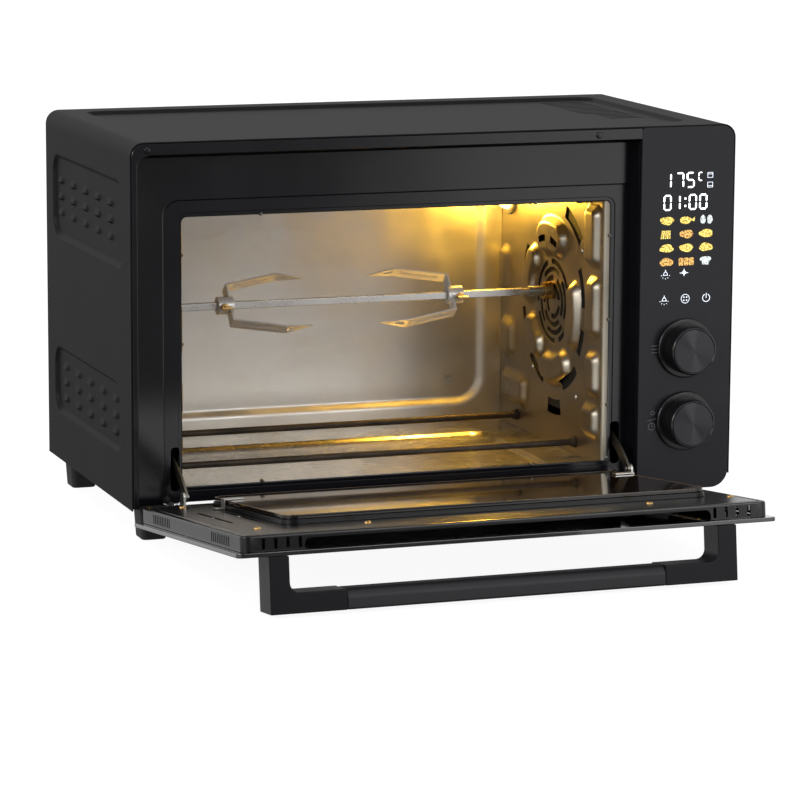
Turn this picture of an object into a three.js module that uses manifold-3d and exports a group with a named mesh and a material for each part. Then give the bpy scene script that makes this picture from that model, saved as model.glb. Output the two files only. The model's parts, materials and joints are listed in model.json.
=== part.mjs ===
// Countertop rotisserie oven with its door open, in millimetres, +Z up.
// Everything is laid out from the front plane of the cabinet (y = 0), with +Y
// towards the back, the middle of the cabinet at x = 0 and the table at z = 0.
// The whole group is moved at the end, so that its origin is the middle of the
// bottom of its box.
import * as THREE from 'three';
import { mergeVertices } from 'three/addons/utils/BufferGeometryUtils.js';
import Module from 'manifold-3d';

const wasm = await Module();
wasm.setup();

// ---------------------------------------------------------------- driving sizes
const WIDTH = 550;
const HEIGHT = 340;
const DEPTH = 284;
const FOOT_HEIGHT = 28;
const COVER_RADIUS = 12;
const COVER_SHEET = 1;
const SHEET = 0.8;
const FIT = 0.3; // clearance between pieces that rest on or pass each other

// control panel on the right of the front
const PANEL_WIDTH = 88.5;
const PANEL_DROP = 12; // how far it hangs below the cover's lower edge
const PANEL_GLASS = 2.5;
const PANEL_WALL = 2.5;

// front frame: lip in the front plane, field set back by RECESS
const RECESS = 22;
const FRAME_SHEET = 1.5;
const LIP_HEIGHT = 10.5;
const LIP_WIDTH = 5;
const BAND_RISE = 2;
const BAND_TOP = 36;
const BAND_SIDE = 22;

// opening in the front frame, by its distance to the cabinet's edges
const OPENING_LEFT_MARGIN = 51;
const OPENING_RIGHT_MARGIN = 19.5;
const OPENING_BOTTOM_MARGIN = 13.5;
const OPENING_TOP_MARGIN = 67;
const OPENING_RADIUS = 5;
const CAVITY_LEFT_OUTSET = 1.5; // left wall stands outside the opening's edge
const CAVITY_RIGHT_INSET = 5; // right wall stands inside the opening's edge
const FLOOR_RISE = 7; // cavity floor above the bottom pan's underside

// door, measured with the door shut
const DOOR_OPEN_ANGLE = 83.2;
const DOOR_GLASS = 3.5;
const DOOR_CLEARANCE = 9.5; // from the shut door's inner frame to the field of the front frame
const DOOR_SIDE_GAP = 2; // to the control panel
const DOOR_LEFT_GAP = 3; // to the cabinet's left side
const DOOR_TOP_GAP = 10;
const DOOR_BOTTOM_DROP = 1; // lower edge below the cover's lower edge
const DOOR_FLANGE = 5.5; // glass beyond the inner frame
const DOOR_SHEET = 1.2;
const PANE_MARGIN = 12; // inner pane inside the oven's opening
const PANE_THICKNESS = 3.2;
const CARRIER_THICKNESS = 3.7;

// hinge, from the front plane and the cover's lower edge
const HINGE_SETBACK = 8.6;
const HINGE_DROP = 2.1;
const HINGE_PIN_RADIUS = 2;
const ARM_OFFSET = 6.4; // arm's place outside the opening's edge
const ARM_SHEET = 2;
const ARM_LENGTH = 66;
const ARM_RISE = 27;
const ARM_WIDTH = 9;

// handle
const HANDLE_STANDOFF = 49.7; // outermost face in front of the front plane
const HANDLE_SECTION = 16.5;
const HANDLE_DEPTH = 29;
const HANDLE_INSET = 25; // from the door's left edge
const HANDLE_INSET_RIGHT = 36.5;
const HANDLE_ELBOW = 63; // length of each end piece along the bar
const HANDLE_FILLET = 8;

// spit, by its distance from the front plane and the cover's lower edge
const SPIT_SETBACK = 147;
const SPIT_RISE = 148.5;
const SPIT_WIDTH = 6.3;
const DRIVE_RADIUS = 4.5;

// heating tubes
const TUBE_RADIUS = 3;
const TUBE_RISE = 12; // lower tubes above the cavity floor
const TUBE_DROP = 7; // upper tubes below the cavity ceiling
const TUBE_SETBACKS = [86, 230];

// convection wheel, motors and lamp on the right wall
const WHEEL_RADIUS = 55;
const GRILLE_DROP = 9.5; // grille's middle below the spit
const LAMP_RADIUS = 19;
const LAMP_SETBACK = 255;
const LAMP_RISE = 225;

// knobs, by their share of the panel's height and from its left edge
const KNOB_RADIUS = 21;
const KNOB_REACH = 22;
const KNOB_SHARES = [0.3936, 0.1921];
const KNOB_INSET = 43.5;
const KNOB_RING_RADIUS = 26.5;
const KNOB_SHAFT_RADIUS = 3;

// back cover
const BACK_BULGE = 22;
const BACK_MARGIN = 28;

// ---------------------------------------------------------------- derived places
const BASE = FOOT_HEIGHT; // lower edge of the cover
const LEFT = -WIDTH / 2;
const RIGHT = WIDTH / 2;
const INNER_LEFT = LEFT + COVER_SHEET;
const INNER_RIGHT = RIGHT - COVER_SHEET;
const INNER_TOP = HEIGHT - COVER_SHEET;
const PANEL_LEFT = RIGHT - PANEL_WIDTH;
const FIELD = RECESS + FRAME_SHEET; // back face of the front frame

const OPENING = {
  left: LEFT + OPENING_LEFT_MARGIN,
  right: PANEL_LEFT - OPENING_RIGHT_MARGIN,
  bottom: BASE + OPENING_BOTTOM_MARGIN,
  top: HEIGHT - OPENING_TOP_MARGIN,
};
const OPENING_MIDDLE = (OPENING.left + OPENING.right) / 2;

const CAVITY = {
  left: OPENING.left - CAVITY_LEFT_OUTSET,
  right: OPENING.right - CAVITY_RIGHT_INSET,
  bottom: BASE + FLOOR_RISE,
  top: OPENING.top + 3,
  front: FIELD + FIT,
  back: DEPTH - 4,
};

const DOOR = {
  left: LEFT + DOOR_LEFT_GAP,
  right: PANEL_LEFT - DOOR_SIDE_GAP,
  bottom: BASE - DOOR_BOTTOM_DROP,
  top: HEIGHT - DOOR_TOP_GAP,
  face: -DOOR_GLASS - 0.5, // outer face of the glass
};
const HINGE = { y: HINGE_SETBACK, z: BASE - HINGE_DROP };
const DOOR_DEPTH = RECESS - DOOR_CLEARANCE;
const ARM_PIN = { y: DOOR_DEPTH + ARM_WIDTH / 2 + 3, z: BASE + 17 }; // on the shut door
const SPIT = { y: SPIT_SETBACK, z: BASE + SPIT_RISE };
const TUBE_HEIGHTS = [CAVITY.bottom + TUBE_RISE, CAVITY.top - TUBE_DROP];
const LAMP = { y: LAMP_SETBACK, z: BASE + LAMP_RISE };
const KNOB_X = PANEL_LEFT + KNOB_INSET;
const PANEL_BOTTOM = BASE - PANEL_DROP;
const PANEL_TOP = INNER_TOP - FIT;
const KNOB_HEIGHTS = KNOB_SHARES.map((share) => PANEL_BOTTOM + share * (PANEL_TOP - PANEL_BOTTOM));

// ---------------------------------------------------------------- finishes
const FINISHES = {
  blackSteel: { color: 0x2b2b2d, roughness: 0.45, metalness: 0.6 },
  blackFrame: { color: 0x1b1b1f, roughness: 0.35, metalness: 0.5 },
  blackPlastic: { color: 0x202024, roughness: 0.5, metalness: 0 },
  charcoal: { color: 0x2c2b31, roughness: 0.4, metalness: 0.1 },
  steel: { color: 0xb9b6b0, roughness: 0.35, metalness: 0.9 },
  brass: { color: 0xb08a3c, roughness: 0.35, metalness: 0.9 },
  glass: { color: 0x16130f, roughness: 0.08, metalness: 0 },
  ceramic: { color: 0xe8e4da, roughness: 0.6, metalness: 0 },
  board: { color: 0x1d4a2c, roughness: 0.6, metalness: 0 },
  rubber: { color: 0x161616, roughness: 0.9, metalness: 0 },
};

// ---------------------------------------------------------------- solids
// A closed three.js geometry as a solid that can be joined and cut.
function solid(geometry) {
  geometry.deleteAttribute('normal');
  geometry.deleteAttribute('uv');
  const merged = mergeVertices(geometry, 1e-4);
  return new wasm.Manifold(new wasm.Mesh({
    numProp: 3,
    vertProperties: new Float32Array(merged.attributes.position.array),
    triVerts: new Uint32Array(merged.index.array),
  }));
}

function join(first, ...others) {
  return others.reduce((whole, piece) => whole.add(piece), first);
}

function cut(body, ...tools) {
  return tools.reduce((rest, tool) => rest.subtract(tool), body);
}

// The outline's own u, v and depth directions for an extrusion along each axis.
const BASES = {
  x: [new THREE.Vector3(0, 1, 0), new THREE.Vector3(0, 0, 1), new THREE.Vector3(1, 0, 0)],
  y: [new THREE.Vector3(1, 0, 0), new THREE.Vector3(0, 0, 1), new THREE.Vector3(0, -1, 0)],
  z: [new THREE.Vector3(1, 0, 0), new THREE.Vector3(0, 1, 0), new THREE.Vector3(0, 0, 1)],
};

// An outline drawn in the plane across an axis, (y, z), (x, z) or (x, y), and
// extruded along that axis between two stations.
function prismGeometry(axis, outline, from, to, curveSegments = 5) {
  const geometry = new THREE.ExtrudeGeometry(outline, {
    depth: to - from,
    bevelEnabled: false,
    curveSegments,
  });
  geometry.applyMatrix4(new THREE.Matrix4().makeBasis(...BASES[axis]));
  const shift = new THREE.Vector3();
  shift[axis] = axis === 'y' ? to : from;
  return geometry.translate(shift.x, shift.y, shift.z);
}

function prism(axis, outline, from, to, curveSegments = 5) {
  return solid(prismGeometry(axis, outline, from, to, curveSegments));
}

function block([x0, x1], [y0, y1], [z0, z1]) {
  const geometry = new THREE.BoxGeometry(x1 - x0, y1 - y0, z1 - z0);
  return solid(geometry.translate((x0 + x1) / 2, (y0 + y1) / 2, (z0 + z1) / 2));
}

// A profile of [radius, station] pairs turned about a line along the x or y axis.
function turned(axis, centre, profile, segments = 24) {
  const points = profile.map(([radius, station]) => new THREE.Vector2(radius, station));
  const geometry = new THREE.LatheGeometry(points, segments);
  if (axis === 'x') geometry.rotateZ(-Math.PI / 2).translate(0, centre.y, centre.z);
  if (axis === 'y') geometry.translate(centre.x, 0, centre.z);
  return solid(geometry);
}

function rod(axis, centre, radius, from, to, segments = 16) {
  return turned(axis, centre, [[0, from], [radius, from], [radius, to], [0, to]], segments);
}

function tube(axis, centre, outer, inner, from, to, segments = 24) {
  const profile = [[inner, from], [outer, from], [outer, to], [inner, to], [inner, from]];
  return turned(axis, centre, profile, segments);
}

// Rounded rectangle; the radii go round from the lower left corner.
function roundedRect(u0, u1, v0, v1, radius) {
  const [a, b, c, d] = Array.isArray(radius) ? radius : [radius, radius, radius, radius];
  const shape = new THREE.Shape();
  shape.moveTo(u0 + a, v0);
  shape.lineTo(u1 - b, v0);
  if (b) shape.absarc(u1 - b, v0 + b, b, -Math.PI / 2, 0, false);
  shape.lineTo(u1, v1 - c);
  if (c) shape.absarc(u1 - c, v1 - c, c, 0, Math.PI / 2, false);
  shape.lineTo(u0 + d, v1);
  if (d) shape.absarc(u0 + d, v1 - d, d, Math.PI / 2, Math.PI, false);
  shape.lineTo(u0, v0 + a);
  if (a) shape.absarc(u0 + a, v0 + a, a, Math.PI, Math.PI * 1.5, false);
  return shape;
}

function outlineOf(points) {
  return new THREE.Shape(points.map(([u, v]) => new THREE.Vector2(u, v)));
}

// A straight strip with round ends from one point to another.
function strip([u0, v0], [u1, v1], width) {
  const angle = Math.atan2(v1 - v0, u1 - u0);
  const shape = new THREE.Shape();
  shape.absarc(u0, v0, width / 2, angle + Math.PI / 2, angle + Math.PI * 1.5, false);
  shape.absarc(u1, v1, width / 2, angle - Math.PI / 2, angle + Math.PI / 2, false);
  return shape;
}

// Evenly spaced values whose middle is the given one.
function spread(middle, count, pitch) {
  return Array.from({ length: count }, (_, i) => middle + (i - (count - 1) / 2) * pitch);
}

// ---------------------------------------------------------------- scene graph
const oven = new THREE.Group();
const door = new THREE.Group();
oven.add(door);

function place(parent, name, body, finish) {
  const { vertProperties, triVerts } = body.getMesh();
  const geometry = new THREE.BufferGeometry();
  geometry.setAttribute('position', new THREE.BufferAttribute(vertProperties, 3));
  geometry.setIndex(new THREE.BufferAttribute(triVerts, 1));
  geometry.computeVertexNormals();
  const mesh = new THREE.Mesh(geometry, new THREE.MeshStandardMaterial(FINISHES[finish]));
  mesh.name = name;
  parent.add(mesh);
  return mesh;
}

// ---------------------------------------------------------------- cabinet
// The cover is one sheet folded over the left side, the top and the right side.
function outerCover() {
  const radii = [0, 0, COVER_RADIUS, COVER_RADIUS];
  const inner = COVER_RADIUS - COVER_SHEET;
  const innerRadii = [0, 0, inner, inner];
  const shell = cut(
    prism('y', roundedRect(LEFT, RIGHT, BASE, HEIGHT, radii), 0, DEPTH),
    prism('y', roundedRect(INNER_LEFT, INNER_RIGHT, BASE - 1, INNER_TOP, innerRadii), -1, DEPTH + 1),
  );
  return cut(shell, ...sideVents(), ...topVents());
}

const VENT = { length: 16, height: 5.2 };

// Two groups of short horizontal slots in the left side.
function sideVents() {
  const columns = spread(DEPTH * 0.53, 5, 41.5);
  const rows = [0.25, 0.2, 0.155, 0.81, 0.765, 0.72].map((share) => BASE + share * (HEIGHT - BASE));
  return columns.flatMap((y) => rows.map((z) => {
    const length = [y - VENT.length / 2, y + VENT.length / 2];
    return block([LEFT - 1, INNER_LEFT + 1], length, [z - VENT.height / 2, z + VENT.height / 2]);
  }));
}

// Slots in the top, above the electronics on the right.
function topVents() {
  const middle = PANEL_LEFT + 21;
  return spread(DEPTH * 0.6, 12, 13).map((y) => (
    block([middle - 20, middle + 20], [y - 2, y + 2], [INNER_TOP - 1, HEIGHT + 1])
  ));
}

// Bottom sheet with its two sides folded up.
function basePan() {
  const left = INNER_LEFT + FIT;
  const right = INNER_RIGHT - FIT;
  const flangeTop = BASE + 10;
  const inside = BASE + SHEET;
  const section = outlineOf([
    [left, BASE], [right, BASE], [right, flangeTop], [right - SHEET, flangeTop],
    [right - SHEET, inside], [left + SHEET, inside], [left + SHEET, flangeTop], [left, flangeTop],
  ]);
  return prism('y', section, FIELD + FIT, DEPTH - 3);
}

const GLAND = { x: RIGHT - 55, z: BASE + 50, radius: 6 };

// Pressed back cover: a rim inside the folded cover and a bulge behind it.
function backCover() {
  const rim = DEPTH - 2;
  const inset = FIT + 0.2;
  const outline = roundedRect(INNER_LEFT + inset, INNER_RIGHT - inset, BASE + 1, INNER_TOP - inset,
    [2, 2, COVER_RADIUS - 2, COVER_RADIUS - 2]);
  const left = LEFT + BACK_MARGIN;
  const right = RIGHT - BACK_MARGIN;
  const bottom = BASE + BACK_MARGIN;
  const top = HEIGHT - BACK_MARGIN;
  const back = DEPTH + BACK_BULGE;
  const hull = join(
    prism('y', outline, rim, rim + SHEET),
    prism('y', roundedRect(left, right, bottom, top, 10), rim, back),
  );
  const hollow = prism('y', roundedRect(left + SHEET, right - SHEET, bottom + SHEET, top - SHEET, 9),
    rim - 1, back - SHEET);
  const slots = [-150, 20].flatMap((x) => spread((bottom + top) / 2, 9, 16).map((z) => (
    block([x - 45, x + 45], [back - 2, back + 1], [z - 2.5, z + 2.5])
  )));
  const cordHole = rod('y', { x: GLAND.x, z: GLAND.z }, GLAND.radius + FIT, back - 2, back + 1);
  return cut(hull, hollow, ...slots, cordHole);
}

function cordGland() {
  const back = DEPTH + BACK_BULGE;
  const collar = GLAND.radius + 3;
  return turned('y', GLAND, [
    [3.5, back - 5],
    [GLAND.radius, back - 5],
    [GLAND.radius, back + FIT],
    [collar, back + FIT],
    [collar - 1.5, back + 6],
    [3.5, back + 6],
    [3.5, back - 5],
  ]);
}

const FOOT = { width: 25, depth: 28, taper: 0.86 };

// A foot that narrows towards the table.
function foot(x, y) {
  const { width, depth, taper } = FOOT;
  const shape = roundedRect(-width / 2, width / 2, -depth / 2, depth / 2, 5);
  const geometry = prismGeometry('z', shape, 0, FOOT_HEIGHT - FIT, 3);
  const position = geometry.attributes.position;
  for (let i = 0; i < position.count; i += 1) {
    if (position.getZ(i) < 1) {
      position.setXY(i, position.getX(i) * taper, position.getY(i) * taper);
    }
  }
  return solid(geometry.translate(x, y, 0));
}

function buildCabinet() {
  place(oven, 'outer_cover', outerCover(), 'blackSteel');
  place(oven, 'base_pan', basePan(), 'blackSteel');
  place(oven, 'back_cover', backCover(), 'blackSteel');
  place(oven, 'cord_gland', cordGland(), 'rubber');
  const footX = WIDTH / 2 - 10 - FOOT.width / 2;
  const frontY = HINGE.y + FOOT.depth / 2;
  const behindPanelY = RECESS + FIT + 8 + FOOT.depth / 2;
  const backY = DEPTH - 14 - FOOT.depth / 2;
  place(oven, 'foot_front_left', foot(-footX, frontY), 'rubber');
  place(oven, 'foot_front_right', foot(footX, behindPanelY), 'rubber');
  place(oven, 'foot_back_left', foot(-footX, backY), 'rubber');
  place(oven, 'foot_back_right', foot(footX, backY), 'rubber');
}

// ---------------------------------------------------------------- front frame
// Slots that the hinge arms pass through, beside the opening.
function armSlot(side) {
  const middle = armX(side) + side * 0.2;
  return roundedRect(middle - 4.3, middle + 4.3, OPENING.bottom - 3, OPENING.bottom + 35, 3.5);
}

// The middle of a hinge arm; side is -1 on the left and 1 on the right.
function armX(side) {
  return side < 0 ? OPENING.left - ARM_OFFSET : OPENING.right + ARM_OFFSET;
}

function frontFrame() {
  const left = INNER_LEFT + FIT;
  const right = PANEL_LEFT - FIT;
  const top = INNER_TOP - FIT;
  const bottom = BASE + 1.5;
  const corner = COVER_RADIUS - COVER_SHEET;
  const outline = roundedRect(left, right, bottom, top, [0, 0, 0, corner]);
  const wellLeft = left + LIP_WIDTH;
  const wellTop = top - LIP_HEIGHT;
  const slab = prism('y', outline, 0, FIELD);
  const well = prism('y', roundedRect(wellLeft, right + 1, bottom - 1, wellTop, [0, 0, 0, 8]),
    -1, RECESS - BAND_RISE);
  const behindLip = join(
    block([left + DOOR_SHEET, wellLeft - DOOR_SHEET], [DOOR_SHEET, FIELD + 1],
      [bottom - 1, top - corner]),
    block([left + corner, right + 1], [DOOR_SHEET, FIELD + 1], [wellTop + DOOR_SHEET, top - DOOR_SHEET]),
  );
  const band = prism('y', roundedRect(wellLeft + BAND_SIDE, right + 1, bottom - 1, wellTop - BAND_TOP,
    [0, 0, 0, 14]), RECESS - BAND_RISE - 1, RECESS);
  const hole = prism('y', roundedRect(OPENING.left, OPENING.right, OPENING.bottom, OPENING.top,
    OPENING_RADIUS), -1, FIELD + 1);
  const slots = [-1, 1].map((side) => prism('y', armSlot(side), -1, FIELD + 1, 3));
  const holes = frameScrews().map((at) => rod('y', at, 2.3, -1, FIELD + 1, 12));
  return cut(slab, well, behindLip, band, hole, ...slots, ...holes);
}

function frameScrews() {
  const z = INNER_TOP - FIT - LIP_HEIGHT / 2;
  return [{ x: LEFT + 15, z }, { x: PANEL_LEFT - 41, z }];
}

function frameScrew(at) {
  return turned('y', at, [[0, -1.8], [2.2, -1.6], [3, -FIT], [2, -FIT], [2, 8], [0, 8]], 12);
}

function buildFront() {
  place(oven, 'front_frame', frontFrame(), 'blackFrame');
  const [left, right] = frameScrews();
  place(oven, 'frame_screw_left', frameScrew(left), 'blackSteel');
  place(oven, 'frame_screw_right', frameScrew(right), 'blackSteel');
}

// ---------------------------------------------------------------- cooking cavity
function heaterHoles(from, to) {
  return TUBE_HEIGHTS.flatMap((z) => TUBE_SETBACKS.map((y) => (
    rod('x', { y, z }, TUBE_RADIUS + FIT, from, to, 12)
  )));
}

// A slot along an arc, as a cutter through the right wall.
function arcSlot(centre, radius, width, startAngle, endAngle) {
  const shape = new THREE.Shape();
  shape.absarc(centre.y, centre.z, radius + width / 2, startAngle, endAngle, false);
  shape.absarc(centre.y, centre.z, radius - width / 2, endAngle, startAngle, true);
  return prism('x', shape, CAVITY.right - 1, CAVITY.right + SHEET + 1, 6);
}

// Rings of arc-shaped slots in front of the convection wheel.
function grilleSlots() {
  const centre = { y: SPIT.y, z: SPIT.z - GRILLE_DROP };
  return [18, 27, 36].flatMap((radius, ring) => [0, 1, 2].map((part) => {
    const start = (part + ring / 2) * (Math.PI * 2 / 3) + Math.PI / 2;
    return arcSlot(centre, radius, 4.5, start + 0.22, start + Math.PI * 2 / 3 - 0.22);
  }));
}

function sideWall(face, side) {
  const outer = face + side * SHEET;
  const sheet = block([Math.min(face, outer), Math.max(face, outer)],
    [CAVITY.front, CAVITY.back + SHEET + FIT],
    [CAVITY.bottom - SHEET, CAVITY.top + SHEET]);
  return cut(sheet, ...heaterHoles(Math.min(face, outer) - 1, Math.max(face, outer) + 1));
}

function rightWall() {
  const from = CAVITY.right - 1;
  const to = CAVITY.right + SHEET + 1;
  return cut(
    sideWall(CAVITY.right, 1),
    ...grilleSlots(),
    rod('x', SPIT, DRIVE_RADIUS + 1.1, from, to),
    rod('x', LAMP, LAMP_RADIUS - 4, from, to),
  );
}

function buildCavity() {
  const { left, right, bottom, top, front, back } = CAVITY;
  const between = [left + FIT, right - FIT];
  const upToBack = [front, back - FIT];
  place(oven, 'cavity_left_wall', sideWall(left, -1), 'steel');
  place(oven, 'cavity_right_wall', rightWall(), 'steel');
  place(oven, 'cavity_floor', block(between, upToBack, [bottom - SHEET, bottom]), 'steel');
  place(oven, 'cavity_ceiling', block(between, upToBack, [top, top + SHEET]), 'steel');
  place(oven, 'cavity_back_wall', block(between, [back, back + SHEET], [bottom - SHEET, top + SHEET]),
    'steel');
}

// Sheathed heating tube with a thinner terminal pin at each end.
function heater(y, z) {
  const left = CAVITY.left - SHEET - 4;
  const right = CAVITY.right + SHEET + 3;
  return turned('x', { y, z }, [
    [0, left - 2],
    [1, left - 2],
    [1, left],
    [TUBE_RADIUS, left],
    [TUBE_RADIUS, right],
    [1, right],
    [1, right + 2],
    [0, right + 2],
  ], 12);
}

function buildHeaters() {
  const places = { bottom: TUBE_HEIGHTS[0], top: TUBE_HEIGHTS[1] };
  for (const [level, z] of Object.entries(places)) {
    place(oven, `heater_${level}_front`, heater(TUBE_SETBACKS[0], z), 'blackSteel');
    place(oven, `heater_${level}_back`, heater(TUBE_SETBACKS[1], z), 'blackSteel');
  }
}

// ---------------------------------------------------------------- lamp
const LENS_REACH = 13;

function lampLens() {
  const wall = CAVITY.right - FIT;
  const glass = 1.6;
  const radius = LAMP_RADIUS - 4;
  const dome = (r, reach) => Array.from({ length: 6 }, (_, i) => {
    const angle = (i / 5) * (Math.PI / 2);
    return [r * Math.sin(angle), wall - 2 - reach * Math.cos(angle)];
  });
  const inside = dome(radius - glass, LENS_REACH - glass).reverse();
  return turned('x', LAMP, [
    ...dome(radius, LENS_REACH),
    [LAMP_RADIUS, wall - 2],
    [LAMP_RADIUS, wall],
    [radius - glass, wall],
    ...inside,
  ]);
}

function lampBulb() {
  const wall = CAVITY.right;
  return turned('x', LAMP, [
    [0, wall - 9],
    [3, wall - 8],
    [5, wall - 5],
    [5, wall + 8],
    [3, wall + 10],
    [3, wall + 14],
    [0, wall + 14],
  ], 16);
}

function lampSocket() {
  const wall = CAVITY.right + SHEET + FIT;
  return turned('x', LAMP, [
    [LAMP_RADIUS, wall],
    [LAMP_RADIUS, wall + 1.2],
    [10, wall + 1.2],
    [9, wall + 22],
    [0, wall + 22],
    [0, wall + 14],
    [7, wall + 14],
    [7, wall],
    [LAMP_RADIUS, wall],
  ]);
}

function buildLamp() {
  place(oven, 'lamp_lens', lampLens(), 'glass');
  place(oven, 'lamp_bulb', lampBulb(), 'glass');
  place(oven, 'lamp_socket', lampSocket(), 'ceramic');
}

// ---------------------------------------------------------------- drives
const WHEEL_FRONT = CAVITY.right + SHEET + 3;
const WHEEL_BORE = DRIVE_RADIUS + 1;
const MOTOR_FRONT = WHEEL_FRONT + 24;
const STRAP_PLACE = MOTOR_FRONT + 24;

function fanWheel() {
  const back = WHEEL_FRONT + 6;
  const disc = tube('x', SPIT, WHEEL_RADIUS, WHEEL_BORE, back, back + 1.2, 36);
  const hub = tube('x', SPIT, 9, WHEEL_BORE, WHEEL_FRONT, MOTOR_FRONT - FIT, 20);
  const blades = Array.from({ length: 8 }, (_, i) => {
    const blade = new THREE.BoxGeometry(6.2, 30, 1.2);
    blade.translate(WHEEL_FRONT + 3.1, 36, 0).rotateX((i / 8) * Math.PI * 2);
    return solid(blade.translate(0, SPIT.y, SPIT.z));
  });
  return join(disc, hub, ...blades);
}

// The strap holds both motors behind the right wall.
function motorStrap() {
  const wall = CAVITY.right + SHEET + FIT;
  const reach = WHEEL_RADIUS + 4;
  const width = [SPIT.z - 22, SPIT.z + 22];
  const plate = block([STRAP_PLACE, STRAP_PLACE + 1.2], [SPIT.y - reach, SPIT.y + reach], width);
  const legs = [-1, 1].map((side) => {
    const y = SPIT.y + side * reach;
    return block([wall, STRAP_PLACE + 1.2], [y - 0.6, y + 0.6], width);
  });
  return cut(join(plate, ...legs), rod('x', SPIT, WHEEL_BORE, STRAP_PLACE - 1, STRAP_PLACE + 2));
}

function buildDrives() {
  const gearmotorFront = STRAP_PLACE + 1.2 + FIT;
  const body = turned('x', SPIT, [
    [WHEEL_BORE, MOTOR_FRONT],
    [14, MOTOR_FRONT],
    [28, MOTOR_FRONT + 4],
    [28, STRAP_PLACE - FIT],
    [WHEEL_BORE, STRAP_PLACE - FIT],
    [WHEEL_BORE, MOTOR_FRONT],
  ]);
  const gearmotor = turned('x', SPIT, [
    [DRIVE_RADIUS + FIT, gearmotorFront],
    [25, gearmotorFront],
    [25, gearmotorFront + 18],
    [0, gearmotorFront + 18],
    [0, gearmotorFront + 12],
    [DRIVE_RADIUS + FIT, gearmotorFront + 12],
    [DRIVE_RADIUS + FIT, gearmotorFront],
  ]);
  place(oven, 'fan_wheel', fanWheel(), 'steel');
  place(oven, 'fan_motor', body, 'blackSteel');
  place(oven, 'motor_strap', motorStrap(), 'steel');
  place(oven, 'spit_gearmotor', gearmotor, 'steel');
}

// ---------------------------------------------------------------- spit
const SPIT_JOURNAL = { radius: 3, length: 9 };
const SPIT_LEFT = CAVITY.left + 5;
const SOCKET_MOUTH = CAVITY.right - 23;
const FORK_PLACES = { left: CAVITY.left + 79.5, right: CAVITY.right - 98 };

// Square rod with a round journal at the left and a round driven end.
function spitRod() {
  const half = SPIT_WIDTH / 2;
  const journalEnd = SPIT_LEFT + SPIT_JOURNAL.length;
  const bar = roundedRect(SPIT.y - half, SPIT.y + half, SPIT.z - half, SPIT.z + half, 0.5);
  return join(
    rod('x', SPIT, SPIT_JOURNAL.radius, SPIT_LEFT, journalEnd + 1),
    rod('x', SPIT, 5, journalEnd - 1, journalEnd + 1),
    prism('x', bar, journalEnd, SOCKET_MOUTH - 6, 2),
    rod('x', SPIT, 2.6, SOCKET_MOUTH - 7, SOCKET_MOUTH + 14),
  );
}

function spitDrive() {
  const end = STRAP_PLACE + 1.2 + 10;
  return turned('x', SPIT, [
    [2.9, SOCKET_MOUTH],
    [DRIVE_RADIUS, SOCKET_MOUTH],
    [DRIVE_RADIUS, end],
    [0, end],
    [0, SOCKET_MOUTH + 15],
    [2.9, SOCKET_MOUTH + 15],
    [2.9, SOCKET_MOUTH],
  ], 16);
}

function driveBush() {
  return tube('x', SPIT, 8, DRIVE_RADIUS + 0.5, CAVITY.right - 9, CAVITY.right - FIT, 20);
}

const BRACKET = { halfWidth: 12, reach: 9.2, sheet: 1.2, rise: 9, drop: 16, flange: 12 };

// Bracket on the left wall with an open notch for the spit's journal.
function spitBracket() {
  const wall = CAVITY.left + FIT;
  const notch = SPIT_JOURNAL.radius + 0.5;
  const { halfWidth, reach, sheet, rise, drop, flange } = BRACKET;
  const across = [SPIT.y - halfWidth, SPIT.y + halfWidth];
  const ledgeZ = [SPIT.z - drop, SPIT.z - drop + sheet];
  const plate = block([wall + reach - sheet, wall + reach], across, [SPIT.z - drop, SPIT.z + rise]);
  const ledge = block([wall, wall + reach], across, ledgeZ);
  const tab = block([wall, wall + sheet], across, [SPIT.z - drop - flange, ledgeZ[1]]);
  const opening = new THREE.Shape();
  opening.moveTo(SPIT.y + notch, SPIT.z + rise + 1);
  opening.lineTo(SPIT.y - notch, SPIT.z + rise + 1);
  opening.lineTo(SPIT.y - notch, SPIT.z);
  opening.absarc(SPIT.y, SPIT.z, notch, Math.PI, Math.PI * 2, false);
  return cut(join(plate, ledge, tab), prism('x', opening, wall + reach - sheet - 1, wall + reach + 1));
}

const FORK = { length: 74, width: 12.5, sheet: 1.4, hub: 19, kink: 28, tip: 25, lean: 40 };
const COLLAR = { radius: 8, behind: 10, ahead: 4 };
const THUMB_SCREW = { radius: 2, reach: 19, behind: 5.5 };

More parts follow.
